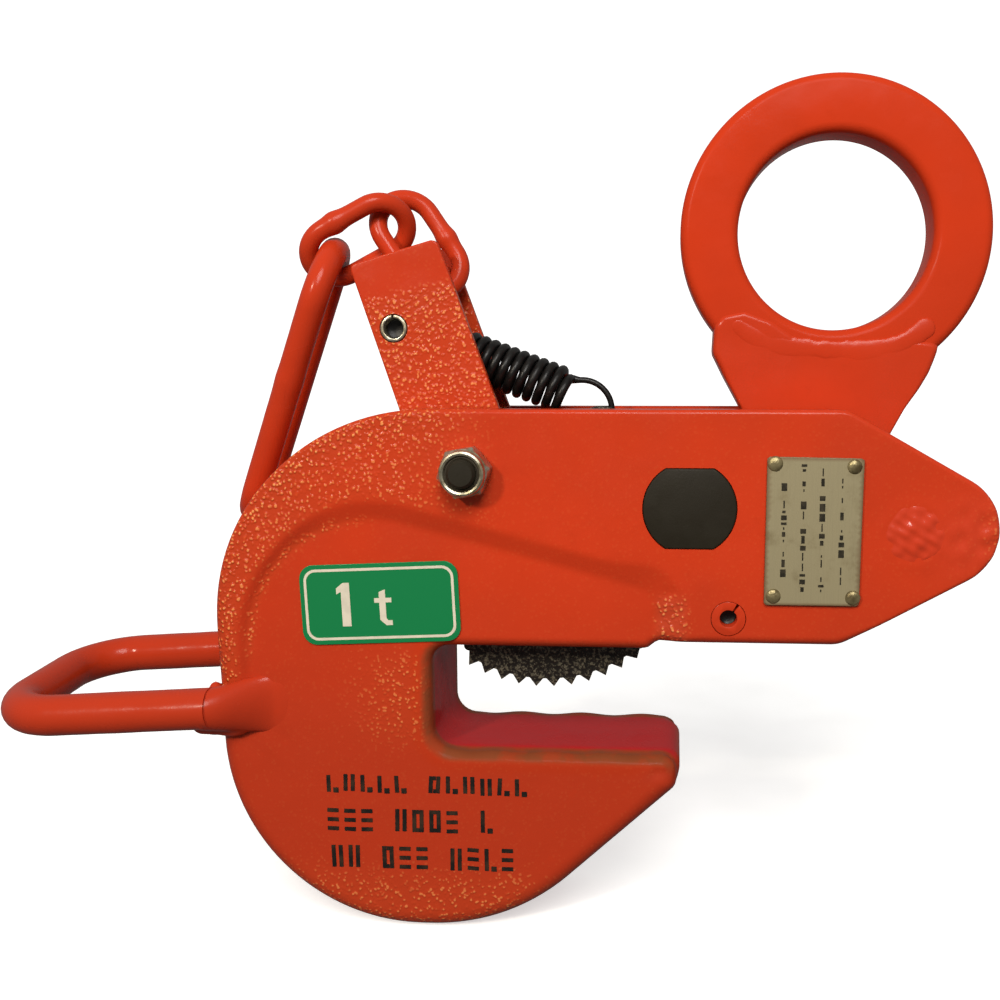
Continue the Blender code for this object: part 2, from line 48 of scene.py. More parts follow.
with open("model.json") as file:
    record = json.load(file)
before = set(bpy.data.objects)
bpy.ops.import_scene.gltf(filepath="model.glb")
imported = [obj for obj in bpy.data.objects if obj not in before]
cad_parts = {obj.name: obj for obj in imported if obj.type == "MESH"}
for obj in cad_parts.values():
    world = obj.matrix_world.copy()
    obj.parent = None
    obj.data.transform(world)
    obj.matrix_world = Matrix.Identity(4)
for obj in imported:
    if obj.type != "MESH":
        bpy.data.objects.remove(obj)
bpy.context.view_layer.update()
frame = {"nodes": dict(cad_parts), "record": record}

MM = 0.001

# Frame outline, millimetres
WEB_HALF = 21.0
RIM_RISE = 1.9
HANDLE_LEG_Y = 27.6
SLOT_HALF = 12.0
FRAME_LEFT = -99.3
FRAME_TOP = 97.0
FRAME_BOTTOM = -53.2
ARM_BOTTOM = 32.7
WEB_BOTTOM = 30.3
THROAT_LEFT = -37.5
JAW_TIP = 32.0
NOSE_CORNER = (134.0, 64.4)
SLOT_OUTLINE = [(-48.8, 130.0), (-48.8, 42.0), (-37.2, 28.0), (-37.2, 20.0), (150.0, 20.0),
                (150.0, 130.0)]

# Pivots and pins, (x, z)
MAIN_PIN = (35.0, 70.2)
MAIN_PIN_RADIUS = 12.75
MAIN_PIN_FLAT = 10.95
LEVER_BOLT = (-26.0, 80.0)
BOLT_RADIUS = 4.0
STOP_PIN = (45.8, 40.0)
STOP_PIN_RADIUS = 4.7
SPRING_PIN = (-48.5, 119.4)
SPRING_PIN_RADIUS = 3.75
NOSE_PLUG = (95.2, 63.8)
RING_CENTRE = (74.7, 145.6)
LINK_PIN = (70.5, 70.0)
GAP = 0.3
PIN_GAP = 0.14
NUT_ACROSS = 13.0
RIVETS = ((57.7, 82.7), (78.7, 82.0), (57.7, 46.7), (79.0, 46.5))
PLATE_BOX = (55.2, 44.2, 81.3, 84.6)
LABEL_CENTRE = (-51.4, 42.7)
LABEL_TURN_DEG = 2.6

# Distances from the middle plane to the faces that other pieces lie on
PLATE_FACE = 23.62
RIVET_FACE = 24.0
NUT_FACE = 23.05
SHANK_HALF = 8.0
SHANK_FORK_HALF = 3.7
SHANK_PIN_HOLE = 5.8

# Stage, metres and degrees
LIGHTS_AIM = (-0.01, 0.0, 0.05)
CAMERA_PLACE = (0.031, -0.323, 0.1055)
CAMERA_TILT_DEG = 83.73
CAMERA_TURN_DEG = 4.0
CAMERA_SHIFT = -0.0978


# ---------------------------------------------------------------- settings

def colour_setting(name, description, default):
    return FloatVectorProperty(name=name, description=description, subtype="COLOR", size=3,
                               min=0.0, max=1.0, default=default)


def length_setting(name, description, default, least=0.5, most=150.0):
    """A length in millimetres."""
    return FloatProperty(name=name, description=description, min=least, max=most, default=default)


class PaintSettings(bpy.types.PropertyGroup):
    orange: colour_setting("Paint", "Colour of the enamel", (0.60, 0.043, 0.0105))
    # Also painted shade: the paint turns to this colour towards the bottom and in the casting skin's
    # pits.
    dark_tone_and_shade: colour_setting("Deep paint", "Colour where the enamel lies thick", (0.43, 0.036, 0.0115))
    # Painted highlight: the peaks of the casting skin are lightened to this colour.
    peak_highlight: colour_setting("Worn paint", "Colour on the peaks of the casting skin", (0.92, 0.36, 0.11))
    # Thin paint on the round edges of the throat and jaw; on the belly's lower round edge it is painted
    # shade.
    edge: colour_setting("Edge", "Colour of thin paint on the edges", (0.22, 0.058, 0.022))
    # Painted shade: the jaw's flat and the throat's inner wall, under the arm, turn to this crimson.
    throat_shade: colour_setting("Milled", "Colour of the thin paint on the jaw's flat", (0.46, 0.020, 0.022))
    roughness: FloatProperty(
        name="Roughness", description="How dull the enamel is", subtype="FACTOR",
        min=0.0, max=1.0, default=0.2)
    cast_depth: FloatProperty(
        name="Casting skin", description="Depth of the hammered casting skin", unit="LENGTH",
        min=0.0, max=0.002, precision=5, default=0.00030)


class MetalSettings(bpy.types.PropertyGroup):
    cam_black: colour_setting("Cam", "Colour of the grainy cam", (0.011, 0.009, 0.007))
    pin_black: colour_setting("Main pin", "Colour of the blackened pin", (0.019, 0.0155, 0.0095))
    zinc: colour_setting("Zinc", "Colour of the plated nut, bolt and pins", (0.50, 0.47, 0.37))
    plate: colour_setting("Name plate", "Colour of the name plate", (0.35, 0.30, 0.175))


class LabelSettings(bpy.types.PropertyGroup):
    green: colour_setting("Green", "Colour of the capacity label", (0.002, 0.130, 0.029))
    cream: colour_setting("Cream", "Colour of the label's border and figure", (0.72, 0.66, 0.53))


class CastingSettings(bpy.types.PropertyGroup):
    spacing: length_setting("Mesh spacing", "Distance between points on the faces", 1.25, 0.6, 4.0)
    arm_round: length_setting("Arm edge", "Edge radius of the arm", 1.3, 0.5, 6.0)
    belly_round: length_setting("Belly edge", "Edge radius round the back", 5.2, 0.5, 8.0)
    throat_round: length_setting("Throat edge", "Edge radius in the throat", 3.6, 0.5, 6.0)


class WireSettings(bpy.types.PropertyGroup):
    link_length: length_setting("Link length", "Length or width of a chain link, in millimetres", 35.0)
    link_width: length_setting("Link width", "Length or width of a chain link, in millimetres", 21.5)
    link_wire: length_setting("Link wire", "Radius of the chain's wire", 2.65)
    loop_length: length_setting("Loop length", "Length or width of the pull loop, in millimetres", 92.0)
    loop_width: length_setting("Loop width", "Length or width of the pull loop, in millimetres", 34.0)
    loop_wire: length_setting("Loop wire", "Radius of the pull loop's wire", 3.9)
    handle_wire: length_setting("Handle rod", "Radius of the carry handle's rod", 5.8)
    spring_wire: length_setting("Spring wire", "Radius of the spring's wire", 1.12)
    spring_turns: IntProperty(name="Spring turns", description="Turns of the spring's coil", default=14)
    ring_outer: length_setting("Ring outside", "Outer radius of the lifting ring", 42.8)
    ring_inner: length_setting("Ring eye", "Radius of the ring's eye", 26.8)
    ring_half: length_setting("Ring thickness", "Half thickness of the ring", 7.5)


class StageSettings(bpy.types.PropertyGroup):
    key_power: FloatProperty(
        name="Key light", description="Power of the large soft light", unit="POWER", default=8.0)
    side_power: FloatProperty(
        name="Side light", description="Power of the light from the upper left", unit="POWER",
        default=5.0)
    room: FloatProperty(name="Room light", description="Strength of the light from all round",
                        default=0.26)
    lens: FloatProperty(name="Lens", description="Focal length of the camera in millimetres",
                        default=40.0)


# ---------------------------------------------------------------- outlines

def arc(cx, cz, radius, start_deg, end_deg, steps):
    """Points along a circular arc, both ends included."""
    angles = np.radians(np.linspace(start_deg, end_deg, steps + 1))
    return [(cx + radius * math.cos(a), cz + radius * math.sin(a)) for a in angles]


def circle(centre, radius, steps=48):
    return arc(*centre, radius, 0.0, 360.0, steps)[:-1]


def rounded(corners, step_deg=4.0):
    """Outline through (x, z, radius) corners, each corner rounded by its own radius."""
    points = []
    for i, (x, z, radius) in enumerate(corners):
        here = Vector((x, z))
        before = (Vector(corners[i - 1][:2]) - here).normalized()
        after = (Vector(corners[(i + 1) % len(corners)][:2]) - here).normalized()
        half = before.angle(after) / 2
        if radius <= 0 or abs(half - math.pi / 2) < 0.01:
            points.append((x, z))
            continue
        middle = here + (before + after).normalized() * (radius / math.sin(half))
        first = here + before * (radius / math.tan(half)) - middle
        turn = math.pi - 2 * half
        side = 1.0 if before.cross(after) < 0 else -1.0
        steps = max(3, math.ceil(math.degrees(turn) / step_deg))
        for k in range(steps + 1):
            points.append(tuple(middle + Matrix.Rotation(side * turn * k / steps, 2) @ first))
    return points


def resampled(loop, step):
    """Closed outline with points about `step` apart, corners kept to within half a step."""
    points = np.array(loop, float)
    ahead = np.roll(points, -1, axis=0)
    lengths = np.linalg.norm(ahead - points, axis=1)
    along = np.concatenate(([0.0], np.cumsum(lengths)))
    count = max(8, int(round(along[-1] / step)))
    marks = np.linspace(0.0, along[-1], count, endpoint=False)
    closed = np.vstack((points, points[:1]))
    return np.column_stack([np.interp(marks, along, closed[:, k]) for k in (0, 1)])


def smooth_step(low, high, value):
    t = np.clip((np.asarray(value, float) - low) / (high - low), 0.0, 1.0)
    return t * t * (3.0 - 2.0 * t)


def distance_to(points, loop):
    """Unsigned distance from each point to a closed outline, worked out in batches."""
    starts = np.asarray(loop, float)
    legs = np.roll(starts, -1, axis=0) - starts
    squares = np.maximum((legs ** 2).sum(1), 1e-12)
    best = np.empty(len(points))
    batch = 2000
    for at in range(0, len(points), batch):
        part = points[at:at + batch, None, :] - starts[None]
        share = np.clip((part * legs).sum(2) / squares, 0.0, 1.0)
        gap = part - share[..., None] * legs
        best[at:at + batch] = np.sqrt((gap ** 2).sum(2)).min(1)
    return best


def inside(points, loop):
    """True where a point lies inside an outline."""
    a = np.asarray(loop, float)
    b = np.roll(a, -1, axis=0)
    hits = np.zeros(len(points), bool)
    for (x0, z0), (x1, z1) in zip(a, b):
        if z0 == z1:
            continue
        crosses = (z0 > points[:, 1]) != (z1 > points[:, 1])
        edge_x = x0 + (points[:, 1] - z0) * (x1 - x0) / (z1 - z0)
        hits ^= crosses & (points[:, 0] < edge_x)
    return hits


def between(low, low_end, high, high_end, value):
    """1 between two soft limits and 0 outside them."""
    return smooth_step(low, low_end, value) * (1.0 - smooth_step(high, high_end, value))


def mound(x, z, middle, half_sizes):
    """Smooth bump that is 1 at its middle."""
    return np.exp(-(((x - middle[0]) / half_sizes[0]) ** 2 + ((z - middle[1]) / half_sizes[1]) ** 2))


def same(value):
    """Rule that gives one value everywhere."""
    return lambda x, *rest: value + 0.0 * x


def ripple(x, z, length, seed):
    """Gentle waviness between -1 and 1, made of four crossing waves."""
    total = 0.0
    for k in range(4):
        angle = seed * 1.7 + k * 2.399
        wave = length * (0.75 + 0.23 * k)
        along = x * math.cos(angle) + z * math.sin(angle)
        total = total + np.sin(along * 2 * math.pi / wave + seed + k * 1.3)
    return total / 4.0


# ---------------------------------------------------------------- objects

def add_mesh(name, vertices_mm, faces, material):
    mesh = bpy.data.meshes.new(name)
    mesh.from_pydata([tuple(c * MM for c in v) for v in vertices_mm], [], faces)
    return add_object(name, mesh, material)


def add_object(name, mesh, material):
    item = bpy.data.objects.new(name, mesh)
    bpy.context.scene.collection.objects.link(item)
    mesh.materials.clear()
    mesh.materials.append(material)
    return item


def mesh_from(name, bm):
    mesh = bpy.data.meshes.new(name)
    bm.to_mesh(mesh)
    bm.free()
    return mesh


def add_bmesh(name, bm, material, smooth_deg=35.0):
    """Millimetre bmesh to an object with outward faces."""
    bmesh.ops.remove_doubles(bm, verts=bm.verts, dist=1e-4)
    bmesh.ops.recalc_face_normals(bm, faces=bm.faces)
    bmesh.ops.scale(bm, vec=(MM, MM, MM), verts=bm.verts)
    item = add_object(name, mesh_from(name, bm), material)
    shade(item, smooth_deg)
    return item


def move_y(item, distance_mm):
    for vertex in item.data.vertices:
        vertex.co.y += distance_mm * MM


def shade(item, angle_deg):
    item.data.shade_smooth()
    item.data.set_sharp_from_angle(angle=math.radians(angle_deg))


def bake_modifiers(item):
    """Turn the object's modifiers into its plain mesh."""
    graph = bpy.context.evaluated_depsgraph_get()
    mesh = bpy.data.meshes.new_from_object(item.evaluated_get(graph))
    materials = list(item.data.materials)
    item.modifiers.clear()
    item.data = mesh
    mesh.name = item.name
    if not mesh.materials:
        for material in materials:
            mesh.materials.append(material)
    return item


def body_of(node):
    for body, nodes in frame["record"]["behaviour"]["bodies"].items():
        if node in nodes:
            return body
    raise RuntimeError(f"{node} is on no body")


def settle(item, nodes):
    """The piece stands for its CAD nodes and moves with their body."""
    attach(item, body_of(nodes[0]))
    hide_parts(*nodes)
    return item


def repaint(material, *nodes):
    """CAD nodes that stay get their finish."""
    for node in nodes:
        materials = frame["nodes"][node].data.materials
        for k in range(len(materials)):
            materials[k] = material
        if not materials:
            materials.append(material)


def round_edges(item, width_mm, segments, limit_deg):
    """Bevel the sharp edges and keep the plain mesh."""
    bevel = item.modifiers.new("edges", "BEVEL")
    bevel.width = width_mm * MM
    bevel.segments = segments
    bevel.limit_method = "ANGLE"
    bevel.angle_limit = math.radians(limit_deg)
    bake_modifiers(item)
    shade(item, 30.0)


def refined(name, node, material, width=0.25, segments=2):
    """Copy of a CAD node with merged points and small rounded edges."""
    bm = bmesh.new()
    bm.from_mesh(frame["nodes"][node].data)
    bmesh.ops.remove_doubles(bm, verts=bm.verts, dist=2e-6)
    bmesh.ops.dissolve_limit(bm, angle_limit=math.radians(0.8), verts=bm.verts, edges=bm.edges)
    item = add_object(name, mesh_from(name, bm), material)
    round_edges(item, width, segments, 40.0)
    return item


def prism(name, outline, y0, y1, material):
    """Straight solid along Y."""
    bm = bmesh.new()
    rings = [[bm.verts.new((x, y, z)) for x, z in outline] for y in (y0, y1)]
    for i in range(len(outline)):
        j = (i + 1) % len(outline)
        bm.faces.new((rings[0][i], rings[0][j], rings[1][j], rings[1][i]))
    bm.faces.new(list(reversed(rings[0])))
    bm.faces.new(rings[1])
    return add_bmesh(name, bm, material)


def cut(item, outlines, y0=-60.0, y1=60.0):
    """Cut prisms out of a piece, exactly, and leave nothing behind."""
    tools = []
    for k, outline in enumerate(outlines):
        tool = prism(f"{item.name}_cutter_{k}", outline, y0, y1, item.data.materials[0])
        step = item.modifiers.new(f"cut_{k}", "BOOLEAN")
        step.operation = "DIFFERENCE"
        step.solver = "EXACT"
        step.object = tool
        tools.append(tool)
    bake_modifiers(item)
    for tool in tools:
        bpy.data.objects.remove(tool, do_unlink=True)
    return item


# ---------------------------------------------------------------- slabs with shaped faces

EDGE_ANGLES = (12.0, 26.0, 40.0, 54.0, 68.0, 80.0, 90.0)


def slab(name, outline, material, spacing, edge, front, rear=None, wall_rows=10, deform=None):
    """Slab about Y = 0 whose faces follow half-thickness rules and whose edges are round.

    edge(x, z) gives the edge radius; front(x, z) and rear(x, z) give the half thickness.
    """
    rear = rear or front
    rim = resampled(outline, spacing)
    if np.sum(rim[:, 0] * np.roll(rim[:, 1], -1) - np.roll(rim[:, 0], -1) * rim[:, 1]) < 0:
        rim = rim[::-1].copy()
    along = np.roll(rim, -1, axis=0) - np.roll(rim, 1, axis=0)
    along /= np.linalg.norm(along, axis=1)[:, None]
    inward = np.column_stack((-along[:, 1], along[:, 0]))
    radius = edge(rim[:, 0], rim[:, 1])
    rows = []
    for angle in EDGE_ANGLES:
        reach = radius * (1.0 - math.cos(math.radians(angle)))
        row = rim + inward * reach[:, None]
        keep = (distance_to(row, rim) >= 0.93 * reach) & inside(row, rim)
        rows.append(row[keep])
    low, high = rim.min(0), rim.max(0)
    xs = np.arange(low[0], high[0], spacing)
    zs = np.arange(low[1], high[1], spacing * 0.866)
    grid = np.array([(x + (spacing / 2 if k % 2 else 0.0), z) for k, z in enumerate(zs) for x in xs])
    grid = grid[inside(grid, rim)]
    grid = grid[distance_to(grid, rim) > edge(grid[:, 0], grid[:, 1]) + spacing * 0.55]
    points = np.vstack([rim, *rows, grid])
    count = len(rim)
    sides = [(i, (i + 1) % count) for i in range(count)]
    flat, _, faces, origin, _, _ = delaunay_2d_cdt([Vector(p) for p in points], sides, [], 1, 1e-6)
    flat = np.array([tuple(p) for p in flat])
    place = {}
    for k, sources in enumerate(origin):
        for source in sources:
            if source < count:
                place[source] = k
    depth = distance_to(flat, rim)
    x, z = flat[:, 0], flat[:, 1]
    radius = edge(x, z)
    reach = np.minimum(depth, radius)
    drop = radius - np.sqrt(np.maximum(radius ** 2 - (radius - reach) ** 2, 0.0))
    front_y = -(front(x, z) - drop)
    rear_y = rear(x, z) - drop
    total = len(flat)
    vertices = np.vstack((np.column_stack((x, front_y, z)), np.column_stack((x, rear_y, z))))
    polygons = [tuple(f) for f in faces] + [tuple(total + v for v in reversed(f)) for f in faces]
    ring = [place[i] for i in range(count)]
    previous = ring
    walls = []
    for row in range(1, wall_rows):
        share = row / wall_rows
        start = 2 * total + len(walls)
        for k in ring:
            walls.append((x[k], front_y[k] + (rear_y[k] - front_y[k]) * share, z[k]))
        current = list(range(start, start + count))
        polygons += wall_quads(previous, current)
        previous = current
    polygons += wall_quads(previous, [total + k for k in ring])
    vertices = np.vstack((vertices, np.array(walls).reshape(-1, 3)))
    if deform:
        vertices = deform(vertices)
    item = add_mesh(name, vertices, polygons, material)
    outward(item)
    return item


def wall_quads(first, second):
    count = len(first)
    return [(first[i], second[i], second[(i + 1) % count], first[(i + 1) % count])
            for i in range(count)]


def outward(item, merge=0.0):
    """Turn every face outwards, after merging points closer than `merge` metres."""
    bm = bmesh.new()
    bm.from_mesh(item.data)
    if merge:
        bmesh.ops.remove_doubles(bm, verts=bm.verts, dist=merge)
    bmesh.ops.recalc_face_normals(bm, faces=bm.faces)
    bm.to_mesh(item.data)
    bm.free()


def write_mask(item, name, rule):
    """Store a 0 to 1 value on every point, from a rule of its x, y and z in millimetres."""
    count = len(item.data.vertices)
    places = np.zeros(count * 3, np.float32)
    item.data.vertices.foreach_get("co", places)
    x, y, z = (places.reshape(-1, 3) / MM).T.astype(float)
    mask = item.data.attributes.get(name) or item.data.attributes.new(name, "FLOAT", "POINT")
    mask.data.foreach_set("value", np.clip(rule(x, y, z), 0.0, 1.0).astype(np.float32))


# ---------------------------------------------------------------- geometry node trees

def new_tree(name, inputs):
    """Geometry node tree with a Geometry input, named inputs and a Geometry output."""
    tree = bpy.data.node_groups.new(name, "GeometryNodeTree")
    tree.interface.new_socket("Geometry", in_out="INPUT", socket_type="NodeSocketGeometry")
    for label, kind, value in inputs:
        socket = tree.interface.new_socket(label, in_out="INPUT", socket_type=kind)
        if value is not None:
            socket.default_value = value
    tree.interface.new_socket("Geometry", in_out="OUTPUT", socket_type="NodeSocketGeometry")
    tree.nodes.new("NodeGroupInput").name = "in"
    tree.nodes.new("NodeGroupOutput").name = "out"
    return tree


def add_node(tree, kind, links=None, **values):
    """Add a node; `links` maps input names or positions to sockets, `values` sets the rest by name."""
    node = tree.nodes.new(kind)
    for label, value in values.items():
        label = label.replace("_", " ")
        if label in node.inputs:
            node.inputs[label].default_value = value
        else:
            setattr(node, label.replace(" ", "_"), value)
    for label, source in (links or {}).items():
        tree.links.new(source, node.inputs[label])
    return node


def maths(tree, operation, a, b):
    """Result of a and b, which are sockets or numbers."""
    node = add_node(tree, "ShaderNodeMath", operation=operation)
    for slot, value in enumerate((a, b)):
        if isinstance(value, bpy.types.NodeSocket):
            tree.links.new(value, node.inputs[slot])
        else:
            node.inputs[slot].default_value = value
    return node.outputs[0]


def times(tree, a, b):
    return maths(tree, "MULTIPLY", a, b)


def close_tree(tree, geometry):
    """Every tree ends in Realize Instances, smooth shading and Set Material."""
    source = tree.nodes["in"]
    real = add_node(tree, "GeometryNodeRealizeInstances", {"Geometry": geometry})
    smooth = add_node(tree, "GeometryNodeSetShadeSmooth", {"Geometry": real.outputs[0]})
    coat = add_node(tree, "GeometryNodeSetMaterial",
                    {"Geometry": smooth.outputs[0], "Material": source.outputs["Material"]})
    tree.links.new(coat.outputs[0], tree.nodes["out"].inputs[0])


def wire_tree():
    """Round wire along the object's own edges; its thickness swells where `swell` says."""
    tree = bpy.data.node_groups.get("wire_along_path")
    if tree:
        return tree
    tree = new_tree("wire_along_path", [
        ("Wire radius", "NodeSocketFloat", 0.003),
        ("Sides", "NodeSocketInt", 16),
        ("Unevenness", "NodeSocketFloat", 0.02),
        ("Seed", "NodeSocketFloat", 1.0),
        ("Material", "NodeSocketMaterial", None),
    ])
    source = tree.nodes["in"].outputs
    path = add_node(tree, "GeometryNodeMeshToCurve", {"Mesh": source["Geometry"]})
    swell = add_node(tree, "GeometryNodeInputNamedAttribute", data_type="FLOAT", Name="swell")
    noise = add_node(tree, "ShaderNodeTexNoise", {"W": source["Seed"]}, noise_dimensions="4D",
                     Scale=70.0, Detail=2.0)
    uneven = times(tree, maths(tree, "SUBTRACT", noise.outputs[0], 0.5), source["Unevenness"])
    thickness = times(tree, maths(tree, "ADD", uneven, swell.outputs[0]), source["Wire radius"])
    section = add_node(tree, "GeometryNodeCurvePrimitiveCircle", {"Resolution": source["Sides"]},
                       Radius=1.0)
    body = add_node(tree, "GeometryNodeCurveToMesh",
                    {"Curve": path.outputs[0], "Profile Curve": section.outputs[0], "Scale": thickness},
                    Fill_Caps=True)
    close_tree(tree, body.outputs[0])
    return tree


def ring_tree():
    """Ring with a rounded rectangular section, standing in the XZ plane."""
    tree = new_tree("forged_ring", [
        ("Outer radius", "NodeSocketFloat", 0.0428),
        ("Eye radius", "NodeSocketFloat", 0.0268),
        ("Half thickness", "NodeSocketFloat", 0.0075),
        ("Corner radius", "NodeSocketFloat", 0.003),
        ("Centre", "NodeSocketVector", (0.0, 0.0, 0.0)),
        ("Material", "NodeSocketMaterial", None),
    ])
    source = tree.nodes["in"].outputs
    outer, eye = source["Outer radius"], source["Eye radius"]
    middle = times(tree, maths(tree, "ADD", outer, eye), 0.5)
    path = add_node(tree, "GeometryNodeCurvePrimitiveCircle", {"Radius": middle}, Resolution=160)
    box = add_node(tree, "GeometryNodeCurvePrimitiveQuadrilateral",
                   {"Width": maths(tree, "SUBTRACT", outer, eye),
                    "Height": times(tree, source["Half thickness"], 2.0)})
    section = add_node(tree, "GeometryNodeFilletCurve",
                       {"Curve": box.outputs[0], "Radius": source["Corner radius"]}, mode="POLY",
                       Count=7)
    body = add_node(tree, "GeometryNodeCurveToMesh",
                    {"Curve": path.outputs[0], "Profile Curve": section.outputs[0]})
    stood = add_node(tree, "GeometryNodeTransform",
                     {"Geometry": body.outputs[0], "Translation": source["Centre"]},
                     Rotation=(math.pi / 2, 0.0, 0.0))
    close_tree(tree, stood.outputs[0])
    return tree


def rivet_tree():
    """Domed rivet heads on the object's points, each with its own size, facing the front."""
    tree = new_tree("rivets_on_points", [
        ("Head radius", "NodeSocketFloat", 0.0019),
        ("Head height", "NodeSocketFloat", 0.55),
        ("Seed", "NodeSocketInt", 3),
        ("Material", "NodeSocketMaterial", None),
    ])
    source = tree.nodes["in"].outputs
    dome = add_node(tree, "GeometryNodeMeshUVSphere", {"Radius": source["Head radius"]}, Segments=28,
                    Rings=14)
    flat = add_node(tree, "ShaderNodeCombineXYZ", {"Y": source["Head height"]}, X=1.0, Z=1.0)
    squashed = add_node(tree, "GeometryNodeTransform",
                        {"Geometry": dome.outputs[0], "Scale": flat.outputs[0]})
    size = add_node(tree, "FunctionNodeRandomValue", {"Seed": source["Seed"]}, data_type="FLOAT")
    size.inputs[2].default_value = 0.9
    size.inputs[3].default_value = 1.08
    heads = add_node(tree, "GeometryNodeInstanceOnPoints",
                     {"Points": source["Geometry"], "Instance": squashed.outputs[0],
                      "Scale": size.outputs[1]})
    close_tree(tree, heads.outputs[0])
    return tree


def run_tree(item, tree, **values):
    """Evaluate a tree on an object with named inputs and keep the plain mesh."""
    step = item.modifiers.new(tree.name, "NODES")
    step.node_group = tree
    sockets = {s.name: s.identifier for s in tree.interface.items_tree if s.in_out == "INPUT"}
    for label, value in values.items():
        step[sockets[label.replace("_", " ")]] = value
    return bake_modifiers(item)


def wire(name, route_mm, radius, material, closed=False, swell=None, sides=18, uneven=0.02, seed=1.0):
    """Wire piece along a route in millimetres."""
    count = len(route_mm)
    edges = [(i, i + 1) for i in range(count - 1)]
    if closed:
        edges.append((count - 1, 0))
    mesh = bpy.data.meshes.new(name)
    mesh.from_pydata([tuple(Vector(p) * MM) for p in route_mm], edges, [])
    thick = mesh.attributes.new("swell", "FLOAT", "POINT")
    thick.data.foreach_set("value", np.asarray([1.0] * count if swell is None else swell, np.float32))
    item = add_object(name, mesh, material)
    run_tree(item, wire_tree(), Wire_radius=radius * MM, Sides=sides, Unevenness=uneven,
             Seed=seed, Material=material)
    outward(item, 1e-7)
    shade(item, 40.0)
    return item


# ---------------------------------------------------------------- finishes

def new_material(name):
    material = bpy.data.materials.new(name)
    material.use_nodes = True
    tree = material.node_tree
    shader = tree.nodes["Principled BSDF"]
    place = add_node(tree, "ShaderNodeTexCoord")
    return material, tree, shader, place.outputs["Object"]


def feed(shader, name, socket):
    """Link a result to one of the shader's inputs."""
    shader.id_data.links.new(socket, shader.inputs[name])


def noise_at(tree, place, scale, detail=2.0, roughness=0.5):
    return add_node(tree, "ShaderNodeTexNoise", {"Vector": place}, Scale=scale, Detail=detail,
                    Roughness=roughness).outputs[0]


def span(tree, value, low, high, to_low=0.0, to_high=1.0):
    node = add_node(tree, "ShaderNodeMapRange", {0: value})
    node.interpolation_type = "SMOOTHSTEP"
    for k, number in enumerate((low, high, to_low, to_high)):
        node.inputs[k + 1].default_value = number
    return node.outputs[0]


def mix_colour(tree, share, a, b):
    """Mix two colours; a and b are sockets or plain triples."""
    node = add_node(tree, "ShaderNodeMix", {0: share}, data_type="RGBA")
    for slot, value in ((6, a), (7, b)):
        if isinstance(value, bpy.types.NodeSocket):
            tree.links.new(value, node.inputs[slot])
        else:
            node.inputs[slot].default_value = (*value, 1.0)
    return node.outputs[2]


def bump(tree, height, distance, normal=None, strength=1.0):
    node = add_node(tree, "ShaderNodeBump", {"Height": height}, Strength=strength, Distance=distance)
    if normal:
        tree.links.new(normal, node.inputs["Normal"])
    return node.outputs[0]


def warped_place(tree, place, scale, amount):
    """Coordinates pushed about by noise, so that a cell pattern loses its straight sides."""
    noise = add_node(tree, "ShaderNodeTexNoise", {"Vector": place}, Scale=scale, Detail=1.0)
    shift = add_node(tree, "ShaderNodeVectorMath", {0: noise.outputs["Color"]}, operation="MULTIPLY")
    shift.inputs[1].default_value = (amount, amount, amount)
    return add_node(tree, "ShaderNodeVectorMath", {0: place, 1: shift.outputs[0]},
                    operation="ADD").outputs[0]


def mask_of(tree, name):
    return add_node(tree, "ShaderNodeAttribute", attribute_name=name).outputs["Fac"]


